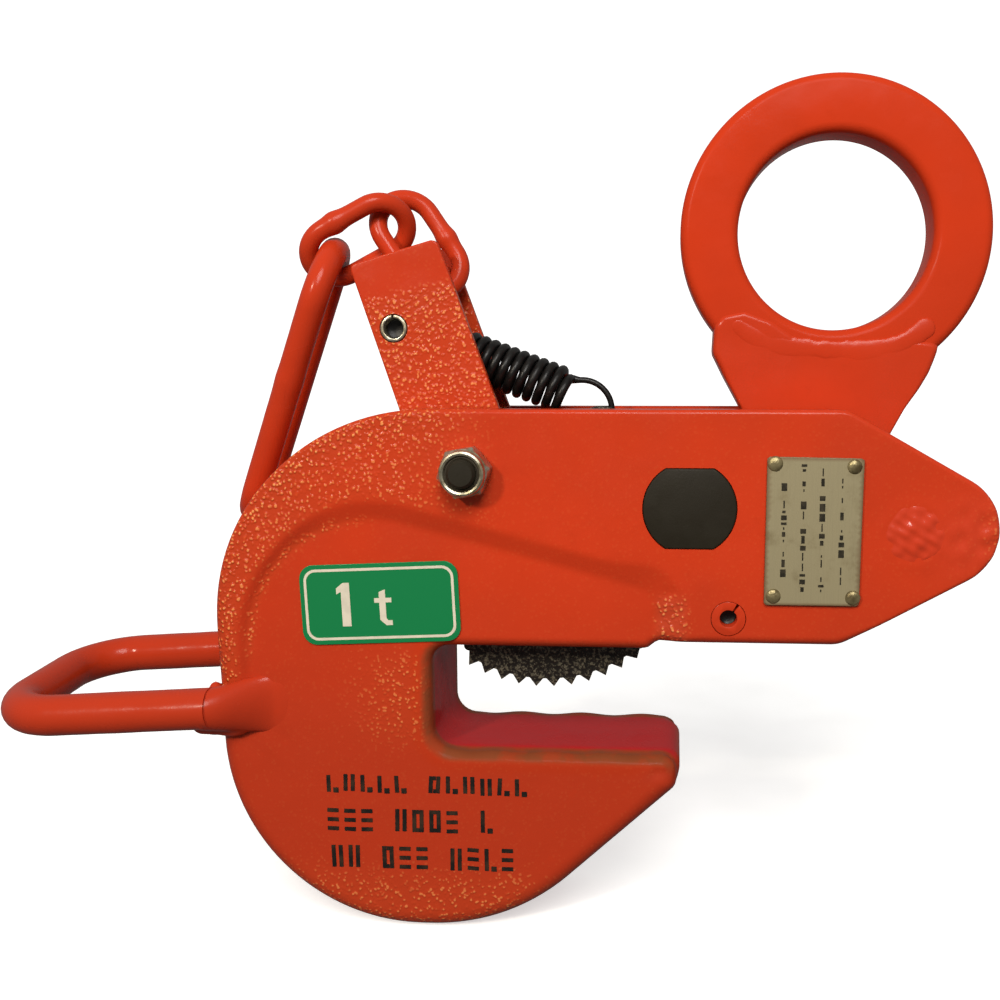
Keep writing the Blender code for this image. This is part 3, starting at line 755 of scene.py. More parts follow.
def make_paint(settings):
    """Orange enamel: thin over forging scale, hammered where the `cast` mask is set, with painted shade
    and highlights.
    """
    material, tree, shader, place = new_material("orange_enamel")
    cloud = span(tree, noise_at(tree, place, 22.0, 3.0), 0.34, 0.68, 0.0, 0.4)
    colour = mix_colour(tree, cloud, tuple(settings.orange), tuple(settings.dark_tone_and_shade))
    # Painted shade: the paint darkens towards the bottom of the clamp, where less light falls.
    height = add_node(tree, "ShaderNodeSeparateXYZ", {0: place}).outputs[2]
    colour = mix_colour(tree, span(tree, height, 0.062, -0.004, 0.0, 0.8), colour, tuple(settings.dark_tone_and_shade))
    fine = span(tree, noise_at(tree, place, 240.0, 3.0, 0.6), 0.55, 0.8, 0.0, 0.35)
    colour = mix_colour(tree, fine, colour, tuple(c * 0.84 for c in settings.orange))
    cast = mask_of(tree, "cast")
    warped = warped_place(tree, place, 420.0, 0.0011)
    pebble = add_node(tree, "ShaderNodeTexVoronoi", {"Vector": warped}, feature="SMOOTH_F1",
                      Scale=780.0, Smoothness=0.5)
    lumps = span(tree, pebble.outputs["Distance"], 0.62, 0.08)
    colour = mix_colour(tree, times(tree, cast, 0.3), colour, (0.66, 0.105, 0.022))
    # Painted highlights on the peaks of the casting skin.
    highlight_spread = span(tree, noise_at(tree, place, 300.0, 1.0), 0.34, 0.52, 0.35, 1.0)
    peaks = times(tree, span(tree, lumps, 0.52, 0.88), highlight_spread)
    colour = mix_colour(tree, times(tree, times(tree, cast, peaks), 0.85), colour, tuple(settings.peak_highlight))
    # Painted shade in the pits of the casting skin.
    pits = span(tree, lumps, 0.5, 0.1)
    colour = mix_colour(tree, times(tree, times(tree, cast, pits), 0.5), colour, tuple(settings.dark_tone_and_shade))
    # Painted shade on the jaw's flat and the throat's inner wall.
    colour = mix_colour(tree, mask_of(tree, "throat_shade"), colour, tuple(settings.throat_shade))
    # Brown on the round edges: thin paint in the throat and jaw, painted shade on the belly.
    edge = mask_of(tree, "edge")
    patchy = span(tree, noise_at(tree, place, 130.0, 3.0, 0.6), 0.36, 0.6, 0.55, 0.95)
    colour = mix_colour(tree, times(tree, edge, patchy), colour, tuple(settings.edge))
    feed(shader, "Base Color", colour)
    dull = span(tree, noise_at(tree, place, 65.0, 3.0, 0.6), 0.3, 0.75,
                settings.roughness - 0.03, settings.roughness + 0.12)
    feed(shader, "Roughness", dull)
    forging = bump(tree, noise_at(tree, place, 75.0, 2.0, 0.45), 0.00055, strength=0.55)
    skin = bump(tree, noise_at(tree, place, 1150.0, 1.0), 0.000028, forging, 0.7)
    hammered = bump(tree, times(tree, lumps, cast), settings.cast_depth, skin)
    feed(shader, "Normal", hammered)
    feed(shader, "Specular IOR Level", span(tree, mask_of(tree, "dull"), 0.0, 1.0, 0.17, 0.03))
    feed(shader, "Coat Weight", times(tree, mask_of(tree, "gloss"), 0.8))
    shader.inputs["Coat Roughness"].default_value = 0.09
    return material


def make_cam_black(settings):
    """Blackened casting with a sandy, glittering grain."""
    material, tree, shader, place = new_material("sandy_black")
    grain = noise_at(tree, place, 1150.0, 2.0, 0.7)
    colour = mix_colour(tree, span(tree, grain, 0.48, 0.66), tuple(settings.cam_black),
                        (0.15, 0.135, 0.095))
    feed(shader, "Base Color", colour)
    feed(shader, "Roughness", span(tree, noise_at(tree, place, 400.0), 0.3, 0.7, 0.42, 0.75))
    feed(shader, "Normal", bump(tree, grain, 0.0003))
    shader.inputs["Specular IOR Level"].default_value = 0.3
    return material


def make_pin_black(settings):
    """Blackened turned steel with rubbed patches and a fine grain."""
    material, tree, shader, place = new_material("blackened_steel")
    rubbed = span(tree, noise_at(tree, place, 90.0, 4.0, 0.6), 0.45, 0.75, 0.0, 0.5)
    colour = mix_colour(tree, rubbed, tuple(settings.pin_black), (0.027, 0.023, 0.015))
    feed(shader, "Base Color", colour)
    feed(shader, "Roughness", span(tree, noise_at(tree, place, 200.0, 3.0), 0.3, 0.7, 0.42, 0.6))
    feed(shader, "Normal", bump(tree, noise_at(tree, place, 1600.0, 2.0), 0.00003))
    shader.inputs["Specular IOR Level"].default_value = 0.16
    return material


def make_spring_black():
    """Oiled black spring wire with sooty patches and a fine grain."""
    material, tree, shader, place = new_material("spring_black")
    soot = span(tree, noise_at(tree, place, 350.0, 3.0), 0.35, 0.7)
    feed(shader, "Base Color", mix_colour(tree, soot, (0.0035, 0.003, 0.003), (0.009, 0.008, 0.007)))
    feed(shader, "Roughness", span(tree, noise_at(tree, place, 500.0, 2.0), 0.3, 0.7, 0.3, 0.46))
    feed(shader, "Normal", bump(tree, noise_at(tree, place, 1500.0), 0.00003))
    shader.inputs["Specular IOR Level"].default_value = 0.3
    return material


def make_zinc(settings):
    """Zinc with a yellow passivated tinge, duller in its stains."""
    material, tree, shader, place = new_material("zinc_plate")
    stain = span(tree, noise_at(tree, place, 260.0, 4.0, 0.6), 0.4, 0.68)
    clean = tuple(settings.zinc)
    colour = mix_colour(tree, stain, clean, tuple(c * k for c, k in zip(clean, (0.62, 0.56, 0.42))))
    feed(shader, "Base Color", colour)
    feed(shader, "Roughness", span(tree, noise_at(tree, place, 420.0, 2.0), 0.3, 0.7, 0.24, 0.42))
    feed(shader, "Normal", bump(tree, noise_at(tree, place, 900.0, 2.0), 0.00004))
    shader.inputs["Metallic"].default_value = 0.85
    return material


def make_plate_metal(settings):
    """Olive-grey name plate: brushed, stained in patches and darker along its rim."""
    material, tree, shader, place = new_material("name_plate_metal")
    stretch = add_node(tree, "ShaderNodeMapping", {"Vector": place})
    stretch.inputs["Scale"].default_value = (1.0, 1.0, 0.06)
    brushed = noise_at(tree, stretch.outputs[0], 1500.0, 2.0, 0.6)
    colour = mix_colour(tree, span(tree, brushed, 0.35, 0.65, 0.0, 0.5), tuple(settings.plate),
                        tuple(c * 0.8 for c in settings.plate))
    stain = span(tree, noise_at(tree, place, 120.0, 4.0, 0.65), 0.52, 0.78, 0.0, 0.75)
    colour = mix_colour(tree, stain, colour, (0.20, 0.155, 0.075))
    colour = mix_colour(tree, mask_of(tree, "edge"), colour, (0.16, 0.09, 0.04))
    feed(shader, "Base Color", colour)
    feed(shader, "Roughness", span(tree, brushed, 0.3, 0.7, 0.4, 0.55))
    feed(shader, "Normal", bump(tree, brushed, 0.00002))
    shader.inputs["Metallic"].default_value = 0.3
    return material


def make_plain(name, colour, dark, roughness, metallic=0.0, grain=600.0, depth=0.00002):
    """A finish with its own grain, slight colour change and soft bump."""
    material, tree, shader, place = new_material(name)
    patch = span(tree, noise_at(tree, place, grain * 0.3, 3.0, 0.6), 0.38, 0.7, 0.0, 0.8)
    feed(shader, "Base Color", mix_colour(tree, patch, colour, dark))
    dull = span(tree, noise_at(tree, place, grain, 2.0), 0.3, 0.7, roughness - 0.06, roughness + 0.08)
    feed(shader, "Roughness", dull)
    feed(shader, "Normal", bump(tree, noise_at(tree, place, grain * 1.6, 2.0), depth))
    shader.inputs["Metallic"].default_value = metallic
    shader.inputs["Specular IOR Level"].default_value = 0.14
    return material


def finish_of(name):
    """A finish that the first operator made."""
    return bpy.data.materials[name]


# ---------------------------------------------------------------- frame rules

def clamp_outline():
    """Whole side view of the C-frame: belly, jaw, throat, arm, nose, top and round back."""
    return rounded([
        (FRAME_LEFT, FRAME_BOTTOM, 57.0),
        (-16.2, FRAME_BOTTOM, 60.0),
        (JAW_TIP, -9.6, 4.2),
        (JAW_TIP, 0.0, 4.2),
        (THROAT_LEFT, 0.0, 6.5),
        (THROAT_LEFT, WEB_BOTTOM, 5.0),
        (23.5, WEB_BOTTOM, 1.2),
        (26.5, ARM_BOTTOM, 1.2),
        (76.0, ARM_BOTTOM, 8.0),
        (*NOSE_CORNER, 15.5),
        (77.0, FRAME_TOP, 8.0),
        (FRAME_LEFT, FRAME_TOP, 62.0),
    ], 3.0)


def recess_outline():
    """Edge of the sunk web inside the raised rim and arm."""
    return rounded([
        (26.0, -90.0, 0.0),
        (26.0, 46.8, 7.0),
        (-89.5, 77.0, 36.0),
        (-89.5, -90.0, 0.0),
    ], 3.0)


def rim_share(x, z):
    """0 in the sunk web, 1 on the raised rim, with a hollow ramp between them."""
    points = np.column_stack((x, z))
    loop = recess_outline()
    out = distance_to(points, loop) * np.where(inside(points, loop), -1.0, 1.0)
    ramp_width = 2.6 + 2.6 * smooth_step(-88.0, -56.0, x) + 2.4 * smooth_step(10.0, 30.0, x)
    ramp = np.clip(out / ramp_width, 0.0, 1.0)
    fade = 1.0 - (1.0 - smooth_step(4.0, 32.0, z)) * smooth_step(-40.0, -70.0, x)
    return ramp * np.where(x < -38.0, fade, 1.0) * smooth_step(-2.0, 8.0, z), out, ramp_width


def web_front(x, z):
    """Half thickness of the front: the rim's step and the lumps of the arm, nose, jaw and handle."""
    rise, _, _ = rim_share(x, z)
    half = WEB_HALF + RIM_RISE * rise
    half = half + 0.10 * ripple(x, z, 46.0, 2.0) * smooth_step(0.0, 30.0, -x)
    arm_end = between(24.0, 28.0, 32.0, 37.0, x) * between(31.0, 34.0, 44.0, 50.0, z)
    half = half + 0.45 * arm_end * ripple(x, z, 6.5, 9.0)
    nose = mound(x, z, (113.0, 63.0), (9.0, 9.0))
    lump = 0.55 * smooth_step(0.35, 0.9, ripple(x, z, 7.0, 5.0))
    half = half + 0.6 * nose * ripple(x, z, 4.6, 4.0) + 0.25 * nose * lump
    half = half + 0.55 * mound(x, z, (27.5, -4.6), (4.5, 2.2)) * ripple(x, z, 5.0, 11.0)
    half = half + 0.35 * mound(x, z, (-86.0, 8.0), (9.0, 11.0)) * ripple(x, z, 11.0, 6.0)
    plug_reach = np.hypot(x - NOSE_PLUG[0], z - NOSE_PLUG[1])
    collar = np.exp(-((plug_reach - 8.4) / 1.6) ** 2)
    return half + 0.22 * collar * (0.6 + 0.4 * ripple(x, z, 9.0, 3.0))


def web_rear(x, z):
    """Half thickness of the rear, plainer than the front."""
    rise, _, _ = rim_share(x, z)
    return WEB_HALF + RIM_RISE * rise + 0.10 * ripple(x, z, 46.0, 7.0) * smooth_step(0.0, 30.0, -x)


def frame_edge(settings):
    """Rule for the frame's edge radius: small on the arm, wide round the belly and in the throat."""
    def edge(x, z):
        belly = smooth_step(20.0, -6.0, z) * smooth_step(46.0, 6.0, z)
        left = smooth_step(-62.0, -88.0, x) * smooth_step(70.0, 20.0, z)
        jaw = smooth_step(-46.0, -36.0, x) * smooth_step(-12.0, -4.0, z) * smooth_step(40.0, 30.0, z)
        soft = np.maximum(belly, left)
        base = settings.arm_round + (settings.belly_round - settings.arm_round) * soft
        return base + (settings.throat_round - base) * jaw
    return edge


def shape_frame(v):
    """The jaw's flat stands out at its tip between two notches, and its rear edge is wavy."""
    x, y, z = v.T
    tip = smooth_step(26.0, 32.0, x) * smooth_step(-11.0, -5.0, z) * (z < 5.0)
    flat = 1.0 - smooth_step(13.0, 15.5, np.abs(y))
    notch = np.exp(-((np.abs(y) - 16.4) / 1.5) ** 2)
    x = x + tip * (0.9 * flat - 1.3 * notch * smooth_step(-6.0, -1.0, z))
    jaw = smooth_step(-2.5, 0.0, z) * (z < 6.0) * smooth_step(-34.0, -26.0, x)
    z = z + 0.45 * jaw * smooth_step(12.0, 21.0, y) * np.sin(x * 0.33 + 0.8)
    z = z - jaw * smooth_step(14.0, 16.0, -y) * (0.55 + 0.2 * np.sin(x * 0.4))
    return np.column_stack((x, y, z))


def double_flat(radius, flat):
    """Round outline of the main pin with a flat at its top and its foot."""
    edge = math.degrees(math.asin(flat / radius))
    return arc(*MAIN_PIN, radius, -edge, edge, 24) + arc(*MAIN_PIN, radius, 180 - edge, 180 + edge, 24)


def depth_in_frame(x, z):
    """Distance in from the frame's outline."""
    return distance_to(np.column_stack((x, z)), clamp_outline())


def arm_end_share(x, z):
    """1 on the lumpy end of the arm's lower edge."""
    return between(24.5, 27.5, 33.0, 36.0, x) * (1.0 - smooth_step(43.0, 48.0, z)) * (z > 31.0)


def frame_cast_mask(x, y, z):
    """Where the casting skin is hammered: the rim, a little of the belly and the arm's end."""
    _, out, width = rim_share(x, z)
    rim = smooth_step(0.9, 1.35, out / width) * smooth_step(-14.0, -52.0, x) * smooth_step(2.0, 14.0, z)
    rim = rim * (0.5 + 0.5 * smooth_step(10.0, 2.0, depth_in_frame(x, z)))
    bead = np.exp(-((out + 0.3) / 1.1) ** 2) * smooth_step(-50.0, -66.0, x) * smooth_step(24.0, 32.0, z)
    belly = smooth_step(-30.0, -44.0, z) * smooth_step(0.0, -14.0, x)
    belly = belly * smooth_step(-96.0, -70.0, x) * 0.5
    throat = smooth_step(-66.0, -44.0, x) * smooth_step(-36.0, -44.0, x) * smooth_step(-2.0, 10.0, z)
    throat = throat * (1.0 - smooth_step(22.0, 32.0, z)) * 0.5
    nose = 0.35 * mound(x, z, (118.0, 64.0), (4.5, 8.0))
    return rim + bead * 0.7 + belly + throat + arm_end_share(x, z) * 0.75 + nose + 0.03


def frame_edge_mask(x, y, z):
    """Thin brown paint along the round edges of the throat and jaw, and a little painted shade on the
    belly's round edge.
    """
    depth = depth_in_frame(x, z)
    band = smooth_step(3.6, 1.6, depth) * smooth_step(14.6, 16.2, np.abs(y))
    throat = smooth_step(-43.0, -38.5, x) * smooth_step(-6.0, -2.0, z)
    throat = throat * smooth_step(33.0, 29.0, z) * (x < 32.5)
    # The belly's share of the band is painted shade.
    return band * np.maximum(throat, 0.3 * smooth_step(-20.0, -40.0, z))


def frame_throat_shade_mask(x, y, z):
    """The flat of the jaw and the inner wall of the throat, under the arm, darkened as painted shade.
    """
    depth = depth_in_frame(x, z)
    throat = smooth_step(-42.0, -38.5, x) * smooth_step(-4.0, -1.0, z) * smooth_step(33.0, 29.0, z)
    return smooth_step(1.2, 0.4, depth) * throat * smooth_step(16.2, 14.6, np.abs(y)) * (x < 34.5)


def frame_dull_mask(x, y, z):
    """All round the throat and on the jaw, where grease has dulled the paint."""
    depth = depth_in_frame(x, z)
    throat = smooth_step(-46.0, -42.0, x) * smooth_step(-9.0, -6.0, z)
    throat = throat * smooth_step(33.0, 30.0, z) * (x < 36.0)
    return smooth_step(7.0, 4.5, depth) * throat


def frame_gloss_mask(x, y, z):
    """Thick wet-looking paint on the lumps of the nose and at the jaw's tip."""
    nose = mound(x, z, (110.0, 63.0), (11.0, 11.0))
    tip = mound(x, z, (27.5, -5.6), (5.0, 1.8)) * (np.abs(y) > 20.0)
    arm_end = between(25.0, 28.0, 33.0, 36.0, x) * (1.0 - smooth_step(43.0, 48.0, z))
    return nose + tip + arm_end * (z > 31.0)


# ---------------------------------------------------------------- welds

def puddles(name, spots, material, voxel, rounds):
    """Ellipsoids (x, y, z, and three half sizes) fused into one body and softened."""
    bm = bmesh.new()
    for x, y, z, rx, ry, rz in spots:
        place = Matrix.Translation((x, y, z)) @ Matrix.Diagonal((rx, ry, rz, 1.0))
        bmesh.ops.create_icosphere(bm, subdivisions=3, radius=1.0, matrix=place)
    bmesh.ops.scale(bm, vec=(MM, MM, MM), verts=bm.verts)
    item = add_object(name, mesh_from(name, bm), material)
    fuse = item.modifiers.new("fuse", "REMESH")
    fuse.mode = "VOXEL"
    fuse.voxel_size = voxel * MM
    soften = item.modifiers.new("soften", "SMOOTH")
    soften.factor = 0.5
    soften.iterations = rounds
    bake_modifiers(item)
    item.data.shade_smooth()
    return item


# ---------------------------------------------------------------- turned pieces

def turned(name, centre, profile, material, steps=64, section=None, smooth_deg=35.0):
    """Solid turned about Y through (radius, y) rows; section(angle, radius, row) may reshape a row."""
    bm = bmesh.new()
    rings = []
    for row, (radius, y) in enumerate(profile):
        ring = []
        for k in range(steps):
            angle = 2 * math.pi * k / steps
            reach = section(angle, radius, row) if section else radius
            x, z = centre[0] + reach * math.cos(angle), centre[1] + reach * math.sin(angle)
            ring.append(bm.verts.new((x, y, z)))
        rings.append(ring)
    for first, second in zip(rings, rings[1:]):
        for k in range(steps):
            j = (k + 1) % steps
            bm.faces.new((first[k], first[j], second[j], second[k]))
    bm.faces.new(list(reversed(rings[0])))
    bm.faces.new(rings[-1])
    return add_bmesh(name, bm, material, smooth_deg)


def rolled_pin(name, node, centre, radii, half, slot_deg, finish):
    """Rolled spring pin: a slotted tube with a black core set in from its ends, as painted shade in its
    bore.
    """
    inner, outer = radii
    slot_half_deg = 5.0
    start, end = slot_deg + slot_half_deg, slot_deg + 360.0 - slot_half_deg
    outline = arc(*centre, outer, start, end, 60) + arc(*centre, inner, end, start, 60)
    tube = prism(name, outline, -half, half, finish)
    round_edges(tube, 0.22, 2, 50.0)
    settle(tube, [node])
    # Painted shade: a black core sits in the bore, where the hollow tube would be dark.
    sunk, bevelled = 4.0, 4.4
    rows = [(inner - 0.9, -half + bevelled), (inner - 0.15, -half + sunk),
            (inner - 0.15, half - sunk), (inner - 0.9, half - bevelled)]
    core = turned(f"{name}_grease", centre, rows, finish_of("spring_black"), 40)
    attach(core, body_of(node))


def hex_reach(angle, across, phase_deg):
    """Distance from the middle of a hexagon to its side at an angle."""
    sector = math.radians(60.0)
    local = (angle - math.radians(phase_deg) + sector / 2) % sector - sector / 2
    return (across / 2) / math.cos(abs(local) - sector / 2)


# ---------------------------------------------------------------- routes

def stadium(length, width, wire_radius, end_steps=24, straight_steps=24):
    """Middle line of a long link in XY, long side along X."""
    bend = width / 2 - wire_radius
    straight = (length - width) / 2
    points = []
    for side, start in ((1, 90.0), (-1, 270.0)):
        end = arc(side * straight, 0.0, bend, start, start - 180.0, end_steps)
        points += [Vector((*point, 0.0)) for point in end]
        y = -side * bend
        for k in range(1, straight_steps):
            points.append(Vector((side * straight * (1 - 2 * k / straight_steps), y, 0.0)))
    return points


def laid(route, centre, slope_deg, lean_deg, roll_deg):
    """Long axis sloped in XZ, leaned to the rear, then rolled about its own length."""
    slope, lean, roll = (math.radians(v) for v in (slope_deg, lean_deg, roll_deg))
    along = Vector((math.cos(slope) * math.cos(lean), math.sin(lean), math.sin(slope) * math.cos(lean)))
    up = Vector((-math.sin(slope), 0.0, math.cos(slope)))
    across = up * math.cos(roll) + along.cross(up) * math.sin(roll)
    return [Vector(centre) + along * p.x + across * p.y for p in route]


def weld_swell(route, side, at, width, amount):
    """Wire thickness with a weld bulge on one leg of a link."""
    return [1.0 + (amount * math.exp(-((p.x - at) / width) ** 2) if p.y * side > 0 else 0.0)
            for p in route]


def handle_height(x, y):
    return 14.1 + (x + 120.0) * 0.065 + y * 0.08


def handle_bow(share):
    """The inner weld sags a little halfway along."""
    return -0.8 * math.sin(math.pi * share)


# ---------------------------------------------------------------- operators

class CLAMP_OT_finishes(bpy.types.Operator):
    """Make the paint, metal and label finishes"""
    bl_idname = "clamp.finishes"
    bl_label = "Finishes"

    def execute(self, context):
        scene = context.scene
        make_paint(scene.clamp_paint)
        make_cam_black(scene.clamp_metal)
        make_pin_black(scene.clamp_metal)
        make_spring_black()
        make_zinc(scene.clamp_metal)
        make_plate_metal(scene.clamp_metal)
        make_plain("rivet_metal", (0.30, 0.25, 0.13), (0.09, 0.065, 0.03), 0.34, 0.6, 900.0, 0.0001)
        make_plain("worn_bronze", (0.42, 0.27, 0.11), (0.25, 0.15, 0.06), 0.4, 0.9)
        make_plain("nylon_ring", (0.055, 0.045, 0.032), (0.03, 0.025, 0.018), 0.5)
        make_plain("stamping_ink", (0.012, 0.011, 0.010), (0.05, 0.028, 0.016), 0.45, 0.0, 900.0,
                   0.00004)
        make_plain("plate_ink", (0.020, 0.018, 0.012), (0.055, 0.045, 0.028), 0.5, 0.0, 1500.0)
        green = tuple(scene.clamp_label.green)
        cream = tuple(scene.clamp_label.cream)
        make_plain("label_green", green, (green[0] + 0.004, green[1] * 0.8, green[2] * 0.85), 0.4, 0.0,
                   900.0)
        make_plain("label_cream", cream, tuple(c * 0.86 for c in cream), 0.45, 0.0, 900.0)
        return {"FINISHED"}


class CLAMP_OT_casting(bpy.types.Operator):
    """Build the forged C-frame with its raised rim, soft edges, slot and pin holes"""
    bl_idname = "clamp.casting"
    bl_label = "C-frame"

    def execute(self, context):
        settings = context.scene.clamp_casting
        body = slab("forged_frame", clamp_outline(), finish_of("orange_enamel"), settings.spacing,
                    frame_edge(settings), web_front, web_rear, 24, shape_frame)
        holes = [
            double_flat(MAIN_PIN_RADIUS + PIN_GAP, MAIN_PIN_FLAT + PIN_GAP),
            circle(LEVER_BOLT, BOLT_RADIUS + GAP),
            circle(STOP_PIN, STOP_PIN_RADIUS + PIN_GAP),
        ]
        cut(body, [SLOT_OUTLINE], -SLOT_HALF, SLOT_HALF)
        cut(body, holes)
        write_mask(body, "cast", frame_cast_mask)
        write_mask(body, "edge", frame_edge_mask)
        write_mask(body, "throat_shade", frame_throat_shade_mask)
        write_mask(body, "dull", frame_dull_mask)
        write_mask(body, "gloss", frame_gloss_mask)
        shade(body, 38.0)
        settle(body, ["frame_casting"])
        repaint(finish_of("orange_enamel"), "nose_filler")
        return {"FINISHED"}


class CLAMP_OT_nose_welds(bpy.types.Operator):
    """Build the plug welds in the nose, front and rear"""
    bl_idname = "clamp.nose_welds"
    bl_label = "Nose plug welds"

    def execute(self, context):
        for side, where in ((-1, "front"), (1, "rear")):
            name = f"nose_plug_{where}"

            def section(angle, radius, row):
                wobble = 0.03 * math.sin(3 * angle + row) + 0.02 * math.sin(7 * angle + 2 * row)
                return radius * (1.0 + wobble)

            rows = [(8.5, 14.0), (8.5, 22.6), (8.2, 22.85), (7.6, 22.98), (6.9, 23.08), (6.2, 23.18),
                    (5.5, 23.27), (4.8, 23.35), (4.1, 23.42), (3.4, 23.48), (2.7, 23.54), (2.0, 23.6),
                    (1.3, 23.65), (0.6, 23.67)]
            plug = turned(f"weld_{where}", NOSE_PLUG, [(r, side * y) for r, y in rows],
                          finish_of("orange_enamel"), 72, section, 60.0)
            for vertex in plug.data.vertices:
                x, y, z = vertex.co / MM
                if abs(y) > 23.0:
                    vertex.co.y += side * 0.42 * float(ripple(x, z, 3.4, 8.0)) * MM
            write_mask(plug, "gloss", same(1.0))
            settle(plug, [name])
        return {"FINISHED"}


class CLAMP_OT_handle(bpy.types.Operator):
    """Build the U-shaped carry handle and the welds on its legs"""
    bl_idname = "clamp.handle"
    bl_label = "Carry handle"

    def execute(self, context):
        radius = context.scene.clamp_wire.handle_wire
        paint = finish_of("orange_enamel")
        leg_y = HANDLE_LEG_Y
        bend, reach, root = 17.0, -161.0, -98.5
        corner = reach + bend
        steps = 36
        leg = [(root + (corner - root) * k / steps, leg_y) for k in range(steps)]
        turn = arc(corner, leg_y - bend, bend, 90, 180, 20)
        turn += arc(corner, bend - leg_y, bend, 180, 270, 20)
        route = leg + turn + [(x, -y) for x, y in reversed(leg)]
        points = [(x, y, handle_height(x, y)) for x, y in route]
        rod = wire("handle_rod", points, radius, paint, False, None, 28, 0.05, 4.0)
        settle(rod, ["carry_handle"])
        for side, where in ((-1, "front"), (1, "rear")):
            bead = puddles(f"handle_bead_{where}", self.root_weld(side, radius), paint, 0.5, 16)
            settle(bead, [f"handle_weld_{where}"])
        return {"FINISHED"}

    def root_weld(self, side, radius):
        """Ellipsoids that melt one leg into the frame's face and its rounded edge."""
        rng = np.random.default_rng(20 + side)
        spots = []
        for k in range(34):
            share = k / 33
            x = -103.5 + 22.0 * share
            sink = float(smooth_step(0.08, 0.92, share))
            y = side * (HANDLE_LEG_Y - 7.4 * sink)
            z = handle_height(x, y) - 2.2 * share
            start = 0.93 + 0.09 * float(smooth_step(0.0, 0.16, share))
            spots.append((x, y, z, radius * 0.7, radius * (start - 0.82 * sink),
                          radius * (start + 0.5 * sink)))
        for k in range(16):
            share = k / 15
            x = -102.0 + 9.0 * share + float(rng.normal(0.0, 0.25))
            z = handle_height(x, side * HANDLE_LEG_Y) - 5.4 - 2.0 * share
            size = 2.4 + float(rng.random()) * 0.6
            spots.append((x, side * (24.6 - 2.6 * share), z, size * 1.2, size * 0.9, size))
        for k in range(12):
            share = k / 11
            z = 14.5 - 1.0 * share + handle_bow(share)
            spots.append((-99.4 + 0.8 * share, side * (22.0 - 15.0 * share), z,
                          2.6 - 1.4 * share, 2.0, 5.2 - 3.4 * share))
        return spots


class CLAMP_OT_pins(bpy.types.Operator):
    """Finish the main pin, the stop pin, the cam and its bearing"""
    bl_idname = "clamp.pins"
    bl_label = "Pins and cam"

    def execute(self, context):
        black = finish_of("blackened_steel")
        settle(refined("double_flat_pin", "main_pin", black, 0.45, 3), ["main_pin"])
        rolled_pin("rolled_stop_pin", "stop_pin", STOP_PIN, (2.35, STOP_PIN_RADIUS), 22.75, 55.0,
                   finish_of("orange_enamel"))
        settle(refined("cam_with_teeth", "toothed_cam", finish_of("sandy_black"), 0.16),
               ["toothed_cam"])
        repaint(black, "spring_anchor_pin", "link_pin")
        repaint(finish_of("worn_bronze"), "cam_bush", "cam_spacer_front", "cam_spacer_rear")
        return {"FINISHED"}


def shank_outline():
    """Tapering plate, wavy along its weld to the ring and round about the link pin."""
    weld = [(41.6, 120.4), (43.6, 123.0), (49.8, 124.3), (57.5, 121.6), (66.8, 115.2), (75.9, 113.2),
            (83.5, 114.9), (90.6, 116.4), (99.0, 116.0), (103.0, 115.4)]
    right = [(103.4, 113.6), (102.4, 110.4), (101.0, 106.8), (98.4, 102.4), (94.6, 97.0), (91.2, 90.6)]
    foot = arc(*LINK_PIN, 10.0, -26.0, -152.0, 24)
    left = [(56.5, 87.0), (49.6, 96.6), (44.6, 105.6), (41.2, 112.4)]
    return weld + right + foot + left


class CLAMP_OT_ring(bpy.types.Operator):
    """Build the lifting ring, its shank and the weld between them"""
    bl_idname = "clamp.ring"
    bl_label = "Lifting ring"

    def execute(self, context):
        sizes = context.scene.clamp_wire
        paint = finish_of("orange_enamel")
        ring = add_object("forged_eye", bpy.data.meshes.new("forged_eye"), paint)
        run_tree(ring, ring_tree(), Outer_radius=sizes.ring_outer * MM,
                 Eye_radius=sizes.ring_inner * MM, Half_thickness=sizes.ring_half * MM,
                 Corner_radius=2.7 * MM,
                 Centre=(RING_CENTRE[0] * MM, 0.0, RING_CENTRE[1] * MM), Material=paint)
        outward(ring)
        shade(ring, 40.0)
        write_mask(ring, "dull", same(0.8))
        settle(ring, ["lifting_ring"])

        def edge(x, z):
            return 0.7 + 1.1 * smooth_step(96.0, 110.0, z)

        def half(x, z):
            return SHANK_HALF + 0.12 * ripple(x, z, 18.0, 3.0) * smooth_step(96.0, 106.0, z)

        shank = slab("welded_shank", shank_outline(), paint, 1.4, edge, half, None, 8)
        fork = [(40.0, 50.0), (110.0, 50.0), (110.0, 86.0), (40.0, 86.0)]
        cut(shank, [fork], -SHANK_FORK_HALF, SHANK_FORK_HALF)
        cut(shank, [circle(LINK_PIN, SHANK_PIN_HOLE)])
        shade(shank, 38.0)
        settle(shank, ["ring_shank"])
        for side, where in ((-1, "front"), (1, "rear")):
            bead = puddles(f"ring_bead_{where}", self.weld_spots(side), paint, 0.45, 7)
            settle(bead, [f"ring_weld_{where}"])
        return {"FINISHED"}

    def weld_spots(self, side):
        """Flat wide bead that follows the ring and dips in waves onto the shank."""
        cx, cz = RING_CENTRE
        rng = np.random.default_rng(30 + side)
        spots = []
        for k in range(60):
            share = k / 59
            angle = math.radians(224.0 + 89.0 * share)
            reach = 33.4 + 3.0 * abs(2 * share - 1) ** 2.0 + 0.9 * math.sin(share * 9.0 + 0.6)
            size = 3.4 + 0.5 * math.sin(share * 13.0 + side) + 0.12 * float(rng.normal())
            spots.append((cx + reach * math.cos(angle), side * 7.45, cz + reach * math.sin(angle),
                          size, 0.72 + 0.06 * math.sin(share * 30.0), size))
        return spots


